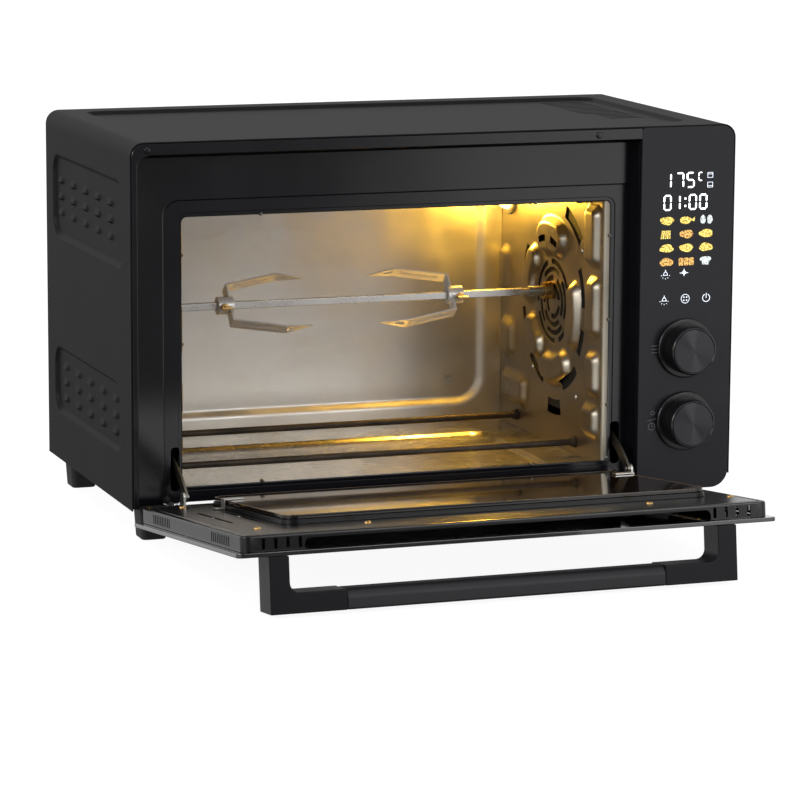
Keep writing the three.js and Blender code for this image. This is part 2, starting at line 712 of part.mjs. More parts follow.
// Fork at a place on the spit: one strip bent at both sides of its hub, so that
// two pointed prongs run along the spit; direction 1 points them towards +x.
function fork(x, direction) {
  const { length, width, sheet, hub, kink, tip, lean } = FORK;
  const bend = length * 0.66;
  const towards = ([u, v]) => [direction * u, v];
  const side = outlineOf([
    [0, -hub], [bend, -kink], [length, -tip], [length, 1 - tip], [bend, sheet - kink],
    [sheet, sheet - hub], [sheet, hub - sheet],
    [bend, kink - sheet], [length, tip - 1], [length, tip], [bend, kink], [0, hub],
  ].map(towards));
  const plan = outlineOf([
    [-1, -width / 2], [bend, -width / 2], [length, -0.4],
    [length, 0.4], [bend, width / 2], [-1, width / 2],
  ].map(towards));
  const slots = [strip([9, 0], [bend * 0.85, 0], 2.4), strip([bend + 2, 0], [bend + 9, 0], 2)];
  const turn = (geometry) => {
    geometry.rotateX(-THREE.MathUtils.degToRad(lean));
    return solid(geometry.translate(x, SPIT.y, SPIT.z));
  };
  const deep = 2 * kink;
  const prongs = turn(prismGeometry('y', side, -width / 2, width / 2))
    .intersect(turn(prismGeometry('z', plan, -deep, deep)));
  const half = SPIT_WIDTH / 2 + FIT;
  const bore = roundedRect(SPIT.y - half, SPIT.y + half, SPIT.z - half, SPIT.z + half, 0.3);
  const slotCuts = slots.map((slot) => {
    const geometry = prismGeometry('z', slot, -deep, deep, 3);
    if (direction < 0) geometry.rotateZ(Math.PI);
    return turn(geometry);
  });
  const ends = [x - direction * COLLAR.behind, x + direction * COLLAR.ahead].sort((a, b) => a - b);
  return cut(
    join(prongs, rod('x', SPIT, COLLAR.radius, ends[0], ends[1], 20)),
    ...slotCuts,
    prism('x', bore, ends[0] - 1, ends[1] + 1, 2),
    screwShank(x, direction, THUMB_SCREW.radius + FIT, 0, COLLAR.radius + 4),
  );
}

// A round length of the clamp screw, which stands out of the collar's front.
function screwShank(x, direction, radius, from, to) {
  const at = { x: x - direction * THUMB_SCREW.behind, z: SPIT.z };
  return turned('y', at, [
    [0, SPIT.y - to],
    [radius, SPIT.y - to],
    [radius, SPIT.y - from],
    [0, SPIT.y - from],
  ], 12);
}

function thumbScrew(x, direction) {
  const { reach, radius, behind } = THUMB_SCREW;
  const tip = SPIT_WIDTH / 2 + FIT + 0.1;
  const wing = new THREE.BoxGeometry(10, 7, 2);
  wing.translate(x - direction * behind, SPIT.y - reach + 3.5, SPIT.z);
  return join(
    screwShank(x, direction, radius, tip, reach - 5),
    screwShank(x, direction, 3.6, COLLAR.radius + 2, reach - 6),
    solid(wing),
  );
}

function buildSpit() {
  place(oven, 'spit_rod', spitRod(), 'steel');
  place(oven, 'spit_drive', spitDrive(), 'blackSteel');
  place(oven, 'drive_bush', driveBush(), 'brass');
  place(oven, 'spit_bracket', spitBracket(), 'steel');
  place(oven, 'fork_left', fork(FORK_PLACES.left, 1), 'steel');
  place(oven, 'fork_right', fork(FORK_PLACES.right, -1), 'steel');
  place(oven, 'thumb_screw_left', thumbScrew(FORK_PLACES.left, 1), 'brass');
  place(oven, 'thumb_screw_right', thumbScrew(FORK_PLACES.right, -1), 'brass');
}

// ---------------------------------------------------------------- control panel
const PANEL = {
  left: PANEL_LEFT,
  right: INNER_RIGHT - FIT,
  bottom: PANEL_BOTTOM,
  top: PANEL_TOP,
  radii: [2, 16, COVER_RADIUS - COVER_SHEET, 3],
};
const DISPLAY = { width: 54, height: 0.44 * (PANEL_TOP - PANEL_BOTTOM), drop: 14 };

function panelOutline(inset) {
  const radii = PANEL.radii.map((radius) => Math.max(radius - inset, 0.5));
  return roundedRect(PANEL.left + inset, PANEL.right - inset, PANEL.bottom + inset, PANEL.top - inset,
    radii);
}

function knobHoles(radius, from, to) {
  return KNOB_HEIGHTS.map((z) => rod('y', { x: KNOB_X, z }, radius, from, to));
}

function displayBox(inset, from, to) {
  const top = PANEL.top - DISPLAY.drop;
  return block(
    [KNOB_X - DISPLAY.width / 2 + inset, KNOB_X + DISPLAY.width / 2 - inset],
    [from, to],
    [top - DISPLAY.height + inset, top - inset],
  );
}

function controlGlass() {
  return cut(
    prism('y', panelOutline(0), 0, PANEL_GLASS),
    ...knobHoles(KNOB_SHAFT_RADIUS + FIT, -1, PANEL_GLASS + 1),
  );
}

function controlHousing() {
  const front = PANEL_GLASS + FIT;
  return cut(
    prism('y', panelOutline(0), front, RECESS + FRAME_SHEET),
    prism('y', panelOutline(2), front + PANEL_WALL, RECESS + FRAME_SHEET + 1),
    displayBox(0, front - 1, front + PANEL_WALL + 1),
    ...knobHoles(KNOB_SHAFT_RADIUS + FIT, front - 1, front + PANEL_WALL + 1),
  );
}

// Round disc knob with a chamfered face, and the shaft that it turns.
function knob(z) {
  const front = -KNOB_REACH;
  const back = -4.4;
  return turned('y', { x: KNOB_X, z }, [
    [0, front],
    [KNOB_RADIUS - 2, front],
    [KNOB_RADIUS, front + 2],
    [KNOB_RADIUS + 1, back],
    [KNOB_SHAFT_RADIUS, back],
    [KNOB_SHAFT_RADIUS, PANEL_GLASS + FIT + PANEL_WALL + 6],
    [0, PANEL_GLASS + FIT + PANEL_WALL + 6],
  ], 36);
}

function knobRing(z) {
  const inner = KNOB_SHAFT_RADIUS + FIT;
  return turned('y', { x: KNOB_X, z }, [
    [inner, -4],
    [KNOB_RING_RADIUS - 1.5, -4],
    [KNOB_RING_RADIUS, -2.5],
    [KNOB_RING_RADIUS, -FIT],
    [inner, -FIT],
    [inner, -4],
  ], 36);
}

function encoder(z) {
  const front = PANEL_GLASS + FIT + PANEL_WALL + FIT;
  const half = 7;
  return cut(
    block([KNOB_X - half, KNOB_X + half], [front, front + 9], [z - half, z + half]),
    rod('y', { x: KNOB_X, z }, KNOB_SHAFT_RADIUS + FIT, front - 1, front + 7),
  );
}

function buildPanel() {
  const behindEncoders = PANEL_GLASS + FIT + PANEL_WALL + 2 * FIT + 9;
  const [upper, lower] = KNOB_HEIGHTS;
  place(oven, 'control_glass', controlGlass(), 'charcoal');
  place(oven, 'control_housing', controlHousing(), 'blackPlastic');
  place(oven, 'display_module', displayBox(1, PANEL_GLASS + FIT, PANEL_GLASS + 7), 'blackPlastic');
  place(oven, 'control_board', block([KNOB_X - 36, KNOB_X + 36], [behindEncoders, behindEncoders + 1.6],
    [lower - 30, INNER_TOP - 30]), 'board');
  place(oven, 'encoder_upper', encoder(upper), 'steel');
  place(oven, 'encoder_lower', encoder(lower), 'steel');
  place(oven, 'knob_ring_upper', knobRing(upper), 'blackPlastic');
  place(oven, 'knob_ring_lower', knobRing(lower), 'blackPlastic');
  place(oven, 'knob_upper', knob(upper), 'blackPlastic');
  place(oven, 'knob_lower', knob(lower), 'blackPlastic');
}

// ---------------------------------------------------------------- door
// The door is drawn shut and hangs in a group whose origin is the hinge line.
const FRAME = {
  left: DOOR.left + DOOR_FLANGE,
  right: DOOR.right - DOOR_FLANGE,
  bottom: DOOR.bottom + DOOR_FLANGE,
  top: DOOR.top - DOOR_FLANGE,
};
const PANE = {
  left: OPENING.left + PANE_MARGIN,
  right: OPENING.right - PANE_MARGIN,
  bottom: OPENING.bottom + PANE_MARGIN,
  top: OPENING.top - PANE_MARGIN,
};
const WINDOW_INSET = 12;

function paneOutline(inset, radius) {
  return roundedRect(PANE.left + inset, PANE.right - inset, PANE.bottom + inset, PANE.top - inset,
    radius);
}

function doorGlass() {
  const outline = roundedRect(DOOR.left, DOOR.right, DOOR.bottom, DOOR.top, [3, 3, 6, 6]);
  return prism('y', outline, DOOR.face, DOOR.face + DOOR_GLASS);
}

// Vent slots in the door's top wall and side walls.
function doorSlots() {
  const middle = (DOOR.left + DOOR.right) / 2;
  const depth = [1.8, 9.8];
  const top = [-1, 1].flatMap((side) => spread(middle + side * 190.5, 4, 10).map((x) => (
    block([x - 1.2, x + 1.2], depth, [FRAME.top - 3, FRAME.top + 1])
  )));
  const sides = [95, 265].flatMap((height) => spread(BASE + height - 28, 10, 5.2).flatMap((z) => [
    block([FRAME.left - 1, FRAME.left + 3], depth, [z - 1.2, z + 1.2]),
    block([FRAME.right - 3, FRAME.right + 1], depth, [z - 1.2, z + 1.2]),
  ]));
  const air = roundedRect(middle - 172, middle + 172, -2, 8, 5);
  return [...top, ...sides, prism('z', air, FRAME.top - 3, FRAME.top + 1, 3)];
}

// Folded inner frame: a tray that is open towards the glass.
function doorFrame() {
  const front = DOOR.face + DOOR_GLASS + FIT;
  const radii = [2, 2, 7, 7];
  const tray = cut(
    prism('y', roundedRect(FRAME.left, FRAME.right, FRAME.bottom, FRAME.top, radii), front, DOOR_DEPTH),
    prism('y', roundedRect(FRAME.left + DOOR_SHEET, FRAME.right - DOOR_SHEET,
      FRAME.bottom + DOOR_SHEET, FRAME.top - DOOR_SHEET, [1, 1, 6, 6]),
    front - 1, DOOR_DEPTH - DOOR_SHEET),
    prism('y', paneOutline(WINDOW_INSET, 8), DOOR_DEPTH - 3, DOOR_DEPTH + 1),
  );
  const longSlots = [-1, 1].map((side) => {
    const x = (PANE.left + PANE.right) / 2 + side * ((PANE.right - PANE.left) / 2 + 16);
    const reach = Math.min(x + 2, FRAME.right - 3) - 4;
    return prism('y', roundedRect(reach, reach + 4, BASE + 85, BASE + 185, 1.8),
      DOOR_DEPTH - 3, DOOR_DEPTH + 1, 2);
  });
  const hingeSlots = [-1, 1].map((side) => {
    const [from, to] = doorPlateSpan(side);
    return block([from - 0.5, to + 0.5], [-10, DOOR_DEPTH + 1], [FRAME.bottom - 1, ARM_PIN.z + 8]);
  });
  return cut(tray, ...doorSlots(), ...longSlots, ...hingeSlots);
}

// Raised carrier and the pane on it, which look into the opening of the oven.
function paneCarrier() {
  const from = DOOR_DEPTH + FIT;
  return cut(
    prism('y', paneOutline(0, 12), from, from + CARRIER_THICKNESS),
    prism('y', paneOutline(WINDOW_INSET, 6), from - 1, from + CARRIER_THICKNESS + 1),
  );
}

const PANE_BACK = DOOR_DEPTH + 2 * FIT + CARRIER_THICKNESS + PANE_THICKNESS;

function innerPane() {
  return prism('y', paneOutline(1.2, 11), PANE_BACK - PANE_THICKNESS, PANE_BACK);
}

// Clip that hooks over the edge of the pane.
function paneClip(side) {
  const edge = side < 0 ? PANE.left : PANE.right;
  const z = PANE.bottom + 42;
  const xs = (a, b) => [edge - side * a, edge - side * b].sort((p, q) => p - q);
  const height = [z - 5, z + 5];
  const face = PANE_BACK + FIT;
  return join(
    block(xs(-1.5, 16), [face, face + 1.2], height),
    block(xs(-1.5, -FIT), [DOOR_DEPTH + FIT, face + 1.2], height),
    block(xs(-9, -FIT), [DOOR_DEPTH + FIT, DOOR_DEPTH + FIT + 1.2], height),
  );
}

function doorPlateSpan(side) {
  const near = armX(side) + side * (ARM_SHEET / 2 + 0.4);
  const far = near + side * ARM_SHEET;
  return [Math.min(near, far), Math.max(near, far)];
}

// Plate in the door that turns on the hinge pin and carries the arm's pin.
function doorHingePlate(side) {
  const [from, to] = doorPlateSpan(side);
  const outline = new THREE.Shape();
  outline.absarc(HINGE.y, HINGE.z, 4.6, Math.PI, Math.PI * 1.8, false);
  outline.lineTo(DOOR_DEPTH - 1, FRAME.bottom + 2);
  outline.lineTo(ARM_PIN.y + 1, ARM_PIN.z - 4.6);
  outline.absarc(ARM_PIN.y, ARM_PIN.z, 4.6, -Math.PI * 0.4, Math.PI * 0.5, false);
  outline.lineTo(HINGE.y - 4, ARM_PIN.z + 4.6);
  const plate = cut(
    prism('x', outline, from, to),
    rod('x', HINGE, HINGE_PIN_RADIUS + FIT, from - 1, to + 1),
  );
  const armSide = side < 0 ? [to - 0.5, armX(side) + 2.2] : [armX(side) - 2.2, from + 0.5];
  return join(plate, rod('x', ARM_PIN, HINGE_PIN_RADIUS, armSide[0], armSide[1]));
}

// Fixed bracket under the bottom pan, with the pin that the door turns on.
function hingeBracket(side) {
  const [plateFrom, plateTo] = doorPlateSpan(side);
  const webNear = side < 0 ? plateFrom - 2.3 : plateTo + 2.3;
  const webFar = webNear + side * ARM_SHEET;
  const web = [Math.min(webNear, webFar), Math.max(webNear, webFar)];
  const underside = BASE - FIT;
  const outline = new THREE.Shape();
  outline.absarc(HINGE.y, HINGE.z, 4.8, Math.PI * 0.5, Math.PI * 1.5, false);
  outline.lineTo(60, HINGE.z - 4.8);
  outline.lineTo(60, underside);
  outline.lineTo(HINGE.y + 12, underside);
  outline.lineTo(HINGE.y + 8, HINGE.z + 4.8);
  const flange = side < 0 ? [webFar, webFar + 12] : [webFar - 12, webFar];
  const pin = side < 0 ? [web[1] - 0.5, plateTo + 0.2] : [plateFrom - 0.2, web[0] + 0.5];
  return join(
    prism('x', outline, web[0], web[1]),
    block(flange, [FIELD + 4, 60], [underside - 1.5, underside]),
    rod('x', HINGE, HINGE_PIN_RADIUS, pin[0], pin[1]),
  );
}

// The place of a point of the shut door once the door is open.
function opened({ y, z }) {
  const angle = THREE.MathUtils.degToRad(DOOR_OPEN_ANGLE);
  const [dy, dz] = [y - HINGE.y, z - HINGE.z];
  return {
    y: HINGE.y + dy * Math.cos(angle) - dz * Math.sin(angle),
    z: HINGE.z + dy * Math.sin(angle) + dz * Math.cos(angle),
  };
}

// Curved steel arm from the open door's pin, through the frame's slot and into
// the space beside the cavity.
function hingeArm(side) {
  const pin = opened(ARM_PIN);
  const tail = { y: pin.y + ARM_LENGTH, z: pin.z + ARM_RISE };
  const bow = 6;
  const middle = { y: (pin.y + tail.y) / 2 - bow * 0.4, z: (pin.z + tail.z) / 2 + bow };
  const curve = new THREE.QuadraticBezierCurve(
    new THREE.Vector2(pin.y, pin.z),
    new THREE.Vector2(2 * middle.y - (pin.y + tail.y) / 2, 2 * middle.z - (pin.z + tail.z) / 2),
    new THREE.Vector2(tail.y, tail.z),
  );
  const steps = 8;
  const edge = (offset) => Array.from({ length: steps + 1 }, (_, i) => {
    const at = curve.getPoint(i / steps);
    const along = curve.getTangent(i / steps);
    return [at.x - along.y * offset, at.y + along.x * offset];
  });
  const half = ARM_WIDTH / 2;
  const band = prism('x', outlineOf([...edge(-half), ...edge(half).reverse()]),
    armX(side) - ARM_SHEET / 2, armX(side) + ARM_SHEET / 2);
  const eye = rod('x', pin, half, armX(side) - ARM_SHEET / 2, armX(side) + ARM_SHEET / 2);
  const hole = rod('x', pin, HINGE_PIN_RADIUS + FIT, armX(side) - 3, armX(side) + 3);
  return cut(join(band, eye), hole);
}

const HANDLE = {
  left: DOOR.left + HANDLE_INSET,
  right: DOOR.right - HANDLE_INSET_RIGHT,
  outer: -HANDLE_STANDOFF,
  inner: -HANDLE_STANDOFF + HANDLE_SECTION,
  top: DOOR.top,
  bottom: DOOR.top - HANDLE_DEPTH,
};

// L-shaped end piece: a post on the glass and an elbow towards the grip.
function handleEnd(side) {
  const edge = side < 0 ? HANDLE.left : HANDLE.right;
  const x = (distance) => edge - side * distance;
  const root = DOOR.face - FIT;
  const outline = new THREE.Shape();
  outline.moveTo(x(0), root);
  outline.lineTo(x(0), HANDLE.outer);
  outline.lineTo(x(HANDLE_ELBOW), HANDLE.outer);
  outline.lineTo(x(HANDLE_ELBOW), HANDLE.inner);
  const centre = [x(HANDLE_SECTION + HANDLE_FILLET), HANDLE.inner + HANDLE_FILLET];
  const end = side < 0 ? -Math.PI : 0;
  outline.lineTo(centre[0], HANDLE.inner);
  outline.absarc(centre[0], centre[1], HANDLE_FILLET, -Math.PI / 2, end, side < 0);
  outline.lineTo(x(HANDLE_SECTION), root);
  return prism('z', outline, HANDLE.bottom, HANDLE.top);
}

function handleGrip() {
  const section = roundedRect(HANDLE.outer, HANDLE.inner, HANDLE.bottom, HANDLE.top, [2, 8, 8, 2]);
  return prism('x', section, HANDLE.left + HANDLE_ELBOW + FIT, HANDLE.right - HANDLE_ELBOW - FIT);
}

function buildDoor() {
  const hang = (name, body, finish) => {
    const mesh = place(door, name, body, finish);
    mesh.position.set(0, -HINGE.y, -HINGE.z);
  };
  hang('door_glass', doorGlass(), 'glass');
  hang('door_frame', doorFrame(), 'blackFrame');
  hang('pane_carrier', paneCarrier(), 'blackFrame');
  hang('inner_pane', innerPane(), 'glass');
  hang('pane_clip_left', paneClip(-1), 'steel');
  hang('pane_clip_right', paneClip(1), 'steel');
  hang('door_hinge_plate_left', doorHingePlate(-1), 'steel');
  hang('door_hinge_plate_right', doorHingePlate(1), 'steel');
  hang('handle_end_left', handleEnd(-1), 'charcoal');
  hang('handle_end_right', handleEnd(1), 'charcoal');
  hang('handle_grip', handleGrip(), 'charcoal');
  door.position.set(0, HINGE.y, HINGE.z);
  door.rotation.x = THREE.MathUtils.degToRad(DOOR_OPEN_ANGLE);
  place(oven, 'hinge_bracket_left', hingeBracket(-1), 'steel');
  place(oven, 'hinge_bracket_right', hingeBracket(1), 'steel');
  place(oven, 'hinge_arm_left', hingeArm(-1), 'steel');
  place(oven, 'hinge_arm_right', hingeArm(1), 'steel');
}

// ---------------------------------------------------------------- assembly
buildCabinet();
buildFront();
buildCavity();
buildHeaters();
buildLamp();
buildDrives();
buildSpit();
buildPanel();
buildDoor();

// The origin is the middle of the bottom of the whole object's box.
oven.updateMatrixWorld(true);
const bounds = new THREE.Box3().setFromObject(oven, true);
const middle = bounds.getCenter(new THREE.Vector3());
oven.position.set(-middle.x, -middle.y, -bounds.min.z);

export default oven;
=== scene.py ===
"""Look of a countertop rotisserie oven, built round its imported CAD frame.

Shapes are drawn in millimetres from the cabinet's front plane (y = 0, +y to the back), the
middle of the cabinet (x = 0) and the table (z = 0). Door shapes are drawn with the door shut.
"""
import json
import math

import bmesh
import bpy
import numpy as np
from mathutils import Matrix, Vector
from mathutils.geometry import tessellate_polygon


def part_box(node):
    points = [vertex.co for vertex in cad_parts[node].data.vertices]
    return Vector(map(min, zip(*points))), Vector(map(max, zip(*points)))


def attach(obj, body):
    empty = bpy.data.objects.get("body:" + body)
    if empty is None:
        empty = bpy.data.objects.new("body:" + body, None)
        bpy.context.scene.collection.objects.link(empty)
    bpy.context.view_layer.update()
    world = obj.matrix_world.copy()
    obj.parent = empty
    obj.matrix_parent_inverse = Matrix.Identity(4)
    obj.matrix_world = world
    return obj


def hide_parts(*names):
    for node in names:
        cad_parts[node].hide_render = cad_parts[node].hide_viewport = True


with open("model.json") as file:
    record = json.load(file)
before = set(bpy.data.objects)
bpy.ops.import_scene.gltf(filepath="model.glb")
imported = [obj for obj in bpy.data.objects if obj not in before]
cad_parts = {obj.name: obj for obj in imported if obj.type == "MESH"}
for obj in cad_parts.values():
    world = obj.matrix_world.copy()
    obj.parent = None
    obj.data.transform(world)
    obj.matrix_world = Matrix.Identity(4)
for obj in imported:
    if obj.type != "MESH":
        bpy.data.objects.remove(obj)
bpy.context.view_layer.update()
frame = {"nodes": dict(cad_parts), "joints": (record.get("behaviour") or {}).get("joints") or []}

MM = 0.001
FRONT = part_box("outer_cover")[0].y / MM


# ---------------- places in the frame
def to_frame(points):
    """Cabinet millimetres to frame metres."""
    return (np.asarray(points, float) + (0, FRONT, 0)) * MM


def box(node):
    """Lowest and highest corner of a CAD node at rest, in cabinet millimetres."""
    low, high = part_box(node)
    return np.array(low) / MM - (0, FRONT, 0), np.array(high) / MM - (0, FRONT, 0)


door_joint = next(j for j in frame["joints"] if j["name"] == "door_hinge")
HINGE = np.array(door_joint["pos_m"]) / MM - (0, FRONT, 0)
OPEN_ANGLE = math.radians(-door_joint["range_deg"][0])


def swing(points, angle):
    """Points turned about the hinge line."""
    cos, sin = math.cos(angle), math.sin(angle)
    x, y, z = (np.asarray(points, float) - HINGE).T
    return np.column_stack([x, y * cos - z * sin, y * sin + z * cos]) + HINGE


def across_x(low, high):
    """Middle of a box, in (y, z), for a piece that runs along x."""
    return (low[1] + high[1]) / 2, (low[2] + high[2]) / 2


def shut_box(node):
    """Lowest and highest corner that a door node has while the door is shut."""
    corners = np.array([v.co for v in frame["nodes"][node].data.vertices]) / MM - (0, FRONT, 0)
    shut = swing(corners, -OPEN_ANGLE)
    return shut.min(0), shut.max(0)


# ---------------- outlines and shapes
AXIS_ORDER = {
    "x": lambda u, v, w: (w, u, v),
    "y": lambda u, v, w: (u, w, v),
    "z": lambda u, v, w: (u, v, w),
}


def rounded(u0, u1, v0, v1, radius, steps=6):
    """Points round a rectangle with rounded corners."""
    corners = [(u1 - radius, v0 + radius), (u1 - radius, v1 - radius),
               (u0 + radius, v1 - radius), (u0 + radius, v0 + radius)]
    outline = []
    for quarter, (cu, cv) in enumerate(corners):
        for k in range(steps + 1):
            angle = math.pi / 2 * (quarter - 1 + k / steps)
            outline.append((cu + radius * math.cos(angle), cv + radius * math.sin(angle)))
    return outline


def arc_band(centre, radius, width, middle, half_span, steps=10):
    """Outline of a slot along an arc; its angles are in degrees."""
    angles = [math.radians(middle - half_span + 2 * half_span * k / steps) for k in range(steps + 1)]
    outer = [(radius + width / 2, a) for a in angles]
    inner = [(radius - width / 2, a) for a in reversed(angles)]
    return [(centre[0] + r * math.cos(a), centre[1] + r * math.sin(a)) for r, a in outer + inner]


def prism(outline, axis, start, end):
    """Closed prism; its outline lies across the axis, in (y, z), (x, z) or (x, y)."""
    n = len(outline)
    points = [AXIS_ORDER[axis](u, v, w) for w in (start, end) for u, v in outline]
    sides = [(i, (i + 1) % n, n + (i + 1) % n, n + i) for i in range(n)]
    return points, [*sides, tuple(range(n)), tuple(range(n, 2 * n))]


def turned(profile, axis, centre, steps=64):
    """Profile of (radius, station) pairs turned about a line through centre, along the axis."""
    points, faces = [], []
    n = len(profile)
    for i in range(steps):
        angle = 2 * math.pi * i / steps
        for radius, station in profile:
            u = centre[0] + radius * math.cos(angle)
            v = centre[1] + radius * math.sin(angle)
            points.append(AXIS_ORDER[axis](u, v, station))
        after = (i + 1) % steps
        faces += [(i * n + k, i * n + k + 1, after * n + k + 1, after * n + k) for k in range(n - 1)]
    return points, faces


def loft(loops, closed=True):
    """Skin between loops that have the same number of points."""
    n = len(loops[0])
    points = [p for loop in loops for p in loop]
    last = n if closed else n - 1
    faces = [(r * n + i, r * n + (i + 1) % n, (r + 1) * n + (i + 1) % n, (r + 1) * n + i)
             for r in range(len(loops) - 1) for i in range(last)]
    return points, faces


def plate_with_hole(outer, hole, y):
    """Flat plate across y, between an outline and a hole in it, both in (x, z)."""
    rings = [[Vector((u, v, 0)) for u, v in ring] for ring in (outer, hole)]
    points = [(u, y, v) for u, v in outer + hole]
    return points, [tuple(t) for t in tessellate_polygon(rings)]


def together(shapes):
    """Several shapes as one."""
    points, faces = [], []
    for shape_points, shape_faces in shapes:
        base = len(points)
        points += list(shape_points)
        faces += [tuple(base + i for i in face) for face in shape_faces]
    return points, faces


def soft_step(t):
    """Smooth rise from 0 to 1 as t goes from 0 to 1."""
    t = np.clip(t, 0, 1)
    return t * t * (3 - 2 * t)


def outside_by(u, v, low, high, radius):
    """Signed distance to a rounded rectangle, negative inside it."""
    du = np.abs(u - (low[0] + high[0]) / 2) - (high[0] - low[0]) / 2 + radius
    dv = np.abs(v - (low[1] + high[1]) / 2) - (high[1] - low[1]) / 2 + radius
    return np.hypot(np.maximum(du, 0), np.maximum(dv, 0)) + np.minimum(np.maximum(du, dv), 0) - radius


def pressed(u, v, low, high, radius, slope):
    """1 well inside a pressed rounded rectangle, 0 outside it, with a slope between."""
    return soft_step(0.5 - outside_by(u, v, low, high, radius) / slope)


def lines_between(start, end, coarse, fine=(), reach=6, step=1.0):
    """Grid lines from start to end, close together near the values in fine."""
    values = list(np.linspace(start, end, max(2, round(abs(end - start) / coarse) + 1)))
    for value in fine:
        values += list(np.arange(value - reach, value + reach + step / 2, step))
    values = np.unique(np.round([v for v in values if start <= v <= end], 3))
    keep = [values[0]]
    for value in values[1:]:
        if value - keep[-1] > step * 0.45:
            keep.append(value)
    keep[-1] = end
    return np.array(keep)


def sheet_shape(us, vs, place):
    """Open sheet over a grid; place(u, v) gives the x, y, z of its points."""
    uu, vv = np.meshgrid(us, vs, indexing="ij")
    points = np.stack(place(uu, vv), axis=-1).reshape(-1, 3)
    n = len(vs)
    faces = [(i * n + j, (i + 1) * n + j, (i + 1) * n + j + 1, i * n + j + 1)
             for i in range(len(us) - 1) for j in range(n - 1)]
    return points.tolist(), faces


# ---------------- objects
def new_object(name, shape, shut=False):
    """Mesh object of a shape, in the frame's metres."""
    points, faces = shape
    points = swing(points, OPEN_ANGLE) if shut else points
    mesh = bpy.data.meshes.new(name)
    mesh.from_pydata(to_frame(points).tolist(), [], faces)
    made = bpy.data.objects.new(name, mesh)
    bpy.context.collection.objects.link(made)
    bm = bmesh.new()
    bm.from_mesh(mesh)
    bmesh.ops.remove_doubles(bm, verts=bm.verts, dist=1e-6)
    bmesh.ops.recalc_face_normals(bm, faces=bm.faces)
    bm.to_mesh(mesh)
    bm.free()
    return made


def bake(obj):
    """Puts the result of the modifiers into the mesh."""
    bpy.context.view_layer.update()
    made = bpy.data.meshes.new_from_object(obj.evaluated_get(bpy.context.evaluated_depsgraph_get()))
    obj.modifiers.clear()
    obj.data = made


def thicken(obj, thickness, offset):
    solid = obj.modifiers.new("thickness", "SOLIDIFY")
    solid.thickness = thickness * MM
    solid.offset = offset
    bake(obj)


def punch(obj, shapes, shut=False):
    """Cuts shapes out of an object."""
    tool = new_object(f"{obj.name}_cutter", together(shapes), shut)
    cut = obj.modifiers.new("cut", "BOOLEAN")
    cut.operation = "DIFFERENCE"
    cut.solver = "EXACT"
    cut.object = tool
    bake(obj)
    bpy.data.objects.remove(tool)


def bevel(obj, width, segments=2, angle=35):
    """Rounds the edges sharper than an angle."""
    edge = obj.modifiers.new("bevel", "BEVEL")
    edge.width = width * MM
    edge.segments = segments
    edge.limit_method = "ANGLE"
    edge.angle_limit = math.radians(angle)


def even_normals(obj):
    """Keeps large faces flat in their shading, next to the small faces of a rounded edge."""
    even = obj.modifiers.new("even", "WEIGHTED_NORMAL")
    even.keep_sharp = True


def dress(obj, material, body, replaces=(), smooth=38):
    """Material, smooth shading and body of a finished piece; hides the CAD nodes that it replaces."""
    obj.data.materials.clear()
    obj.data.materials.append(material)
    obj.data.shade_smooth()
    obj.data.set_sharp_from_angle(angle=math.radians(smooth))
    even_normals(obj)
    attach(obj, body)
    if replaces:
        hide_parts(*replaces)
    return obj


def piece(name, shape, material, body, replaces=(), shut=False, smooth=38):
    return dress(new_object(name, shape, shut), material, body, replaces, smooth)


def smoothing_group():
    """Geometry nodes that shade smooth except across sharp edges."""
    group = bpy.data.node_groups.new("smooth_by_angle", "GeometryNodeTree")
    group.interface.new_socket("Geometry", in_out="INPUT", socket_type="NodeSocketGeometry")
    group.interface.new_socket("Geometry", in_out="OUTPUT", socket_type="NodeSocketGeometry")
    nodes, links = group.nodes, group.links
    start, end = nodes.new("NodeGroupInput"), nodes.new("NodeGroupOutput")
    faces, edges = nodes.new("GeometryNodeSetShadeSmooth"), nodes.new("GeometryNodeSetShadeSmooth")
    faces.domain, edges.domain = "FACE", "EDGE"
    edges.inputs["Shade Smooth"].default_value = False
    angle, sharper = nodes.new("GeometryNodeInputMeshEdgeAngle"), nodes.new("FunctionNodeCompare")
    sharper.inputs[1].default_value = math.radians(32)
    links.new(start.outputs[0], faces.inputs["Geometry"])
    links.new(faces.outputs[0], edges.inputs["Geometry"])
    links.new(angle.outputs["Unsigned Angle"], sharper.inputs[0])
    links.new(sharper.outputs[0], edges.inputs["Selection"])
    links.new(edges.outputs[0], end.inputs[0])
    return group


SMOOTHING = smoothing_group()


def refine(node, material, width=0.4, segments=2):
    """A CAD node that stays: joined triangles, rounded edges, smooth shading, its own material."""
    obj = frame["nodes"][node]
    weld = obj.modifiers.new("weld", "WELD")
    weld.merge_threshold = 1e-5
    flat = obj.modifiers.new("flat", "DECIMATE")
    flat.decimate_type = "DISSOLVE"
    flat.angle_limit = math.radians(0.6)
    if width:
        bevel(obj, width, segments)
    obj.modifiers.new("smooth", "NODES").node_group = SMOOTHING
    even_normals(obj)
    obj.data.materials.clear()
    obj.data.materials.append(material)
    return obj


# ---------------- material parts
def map_range(tree, value, start, end, low, high):
    """Value mapped from start..end to low..high."""
    node = tree.nodes.new("ShaderNodeMapRange")
    for key, number in zip(("From Min", "From Max", "To Min", "To Max"), (start, end, low, high)):
        node.inputs[key].default_value = number
    tree.links.new(value, node.inputs["Value"])
    return node.outputs["Result"]


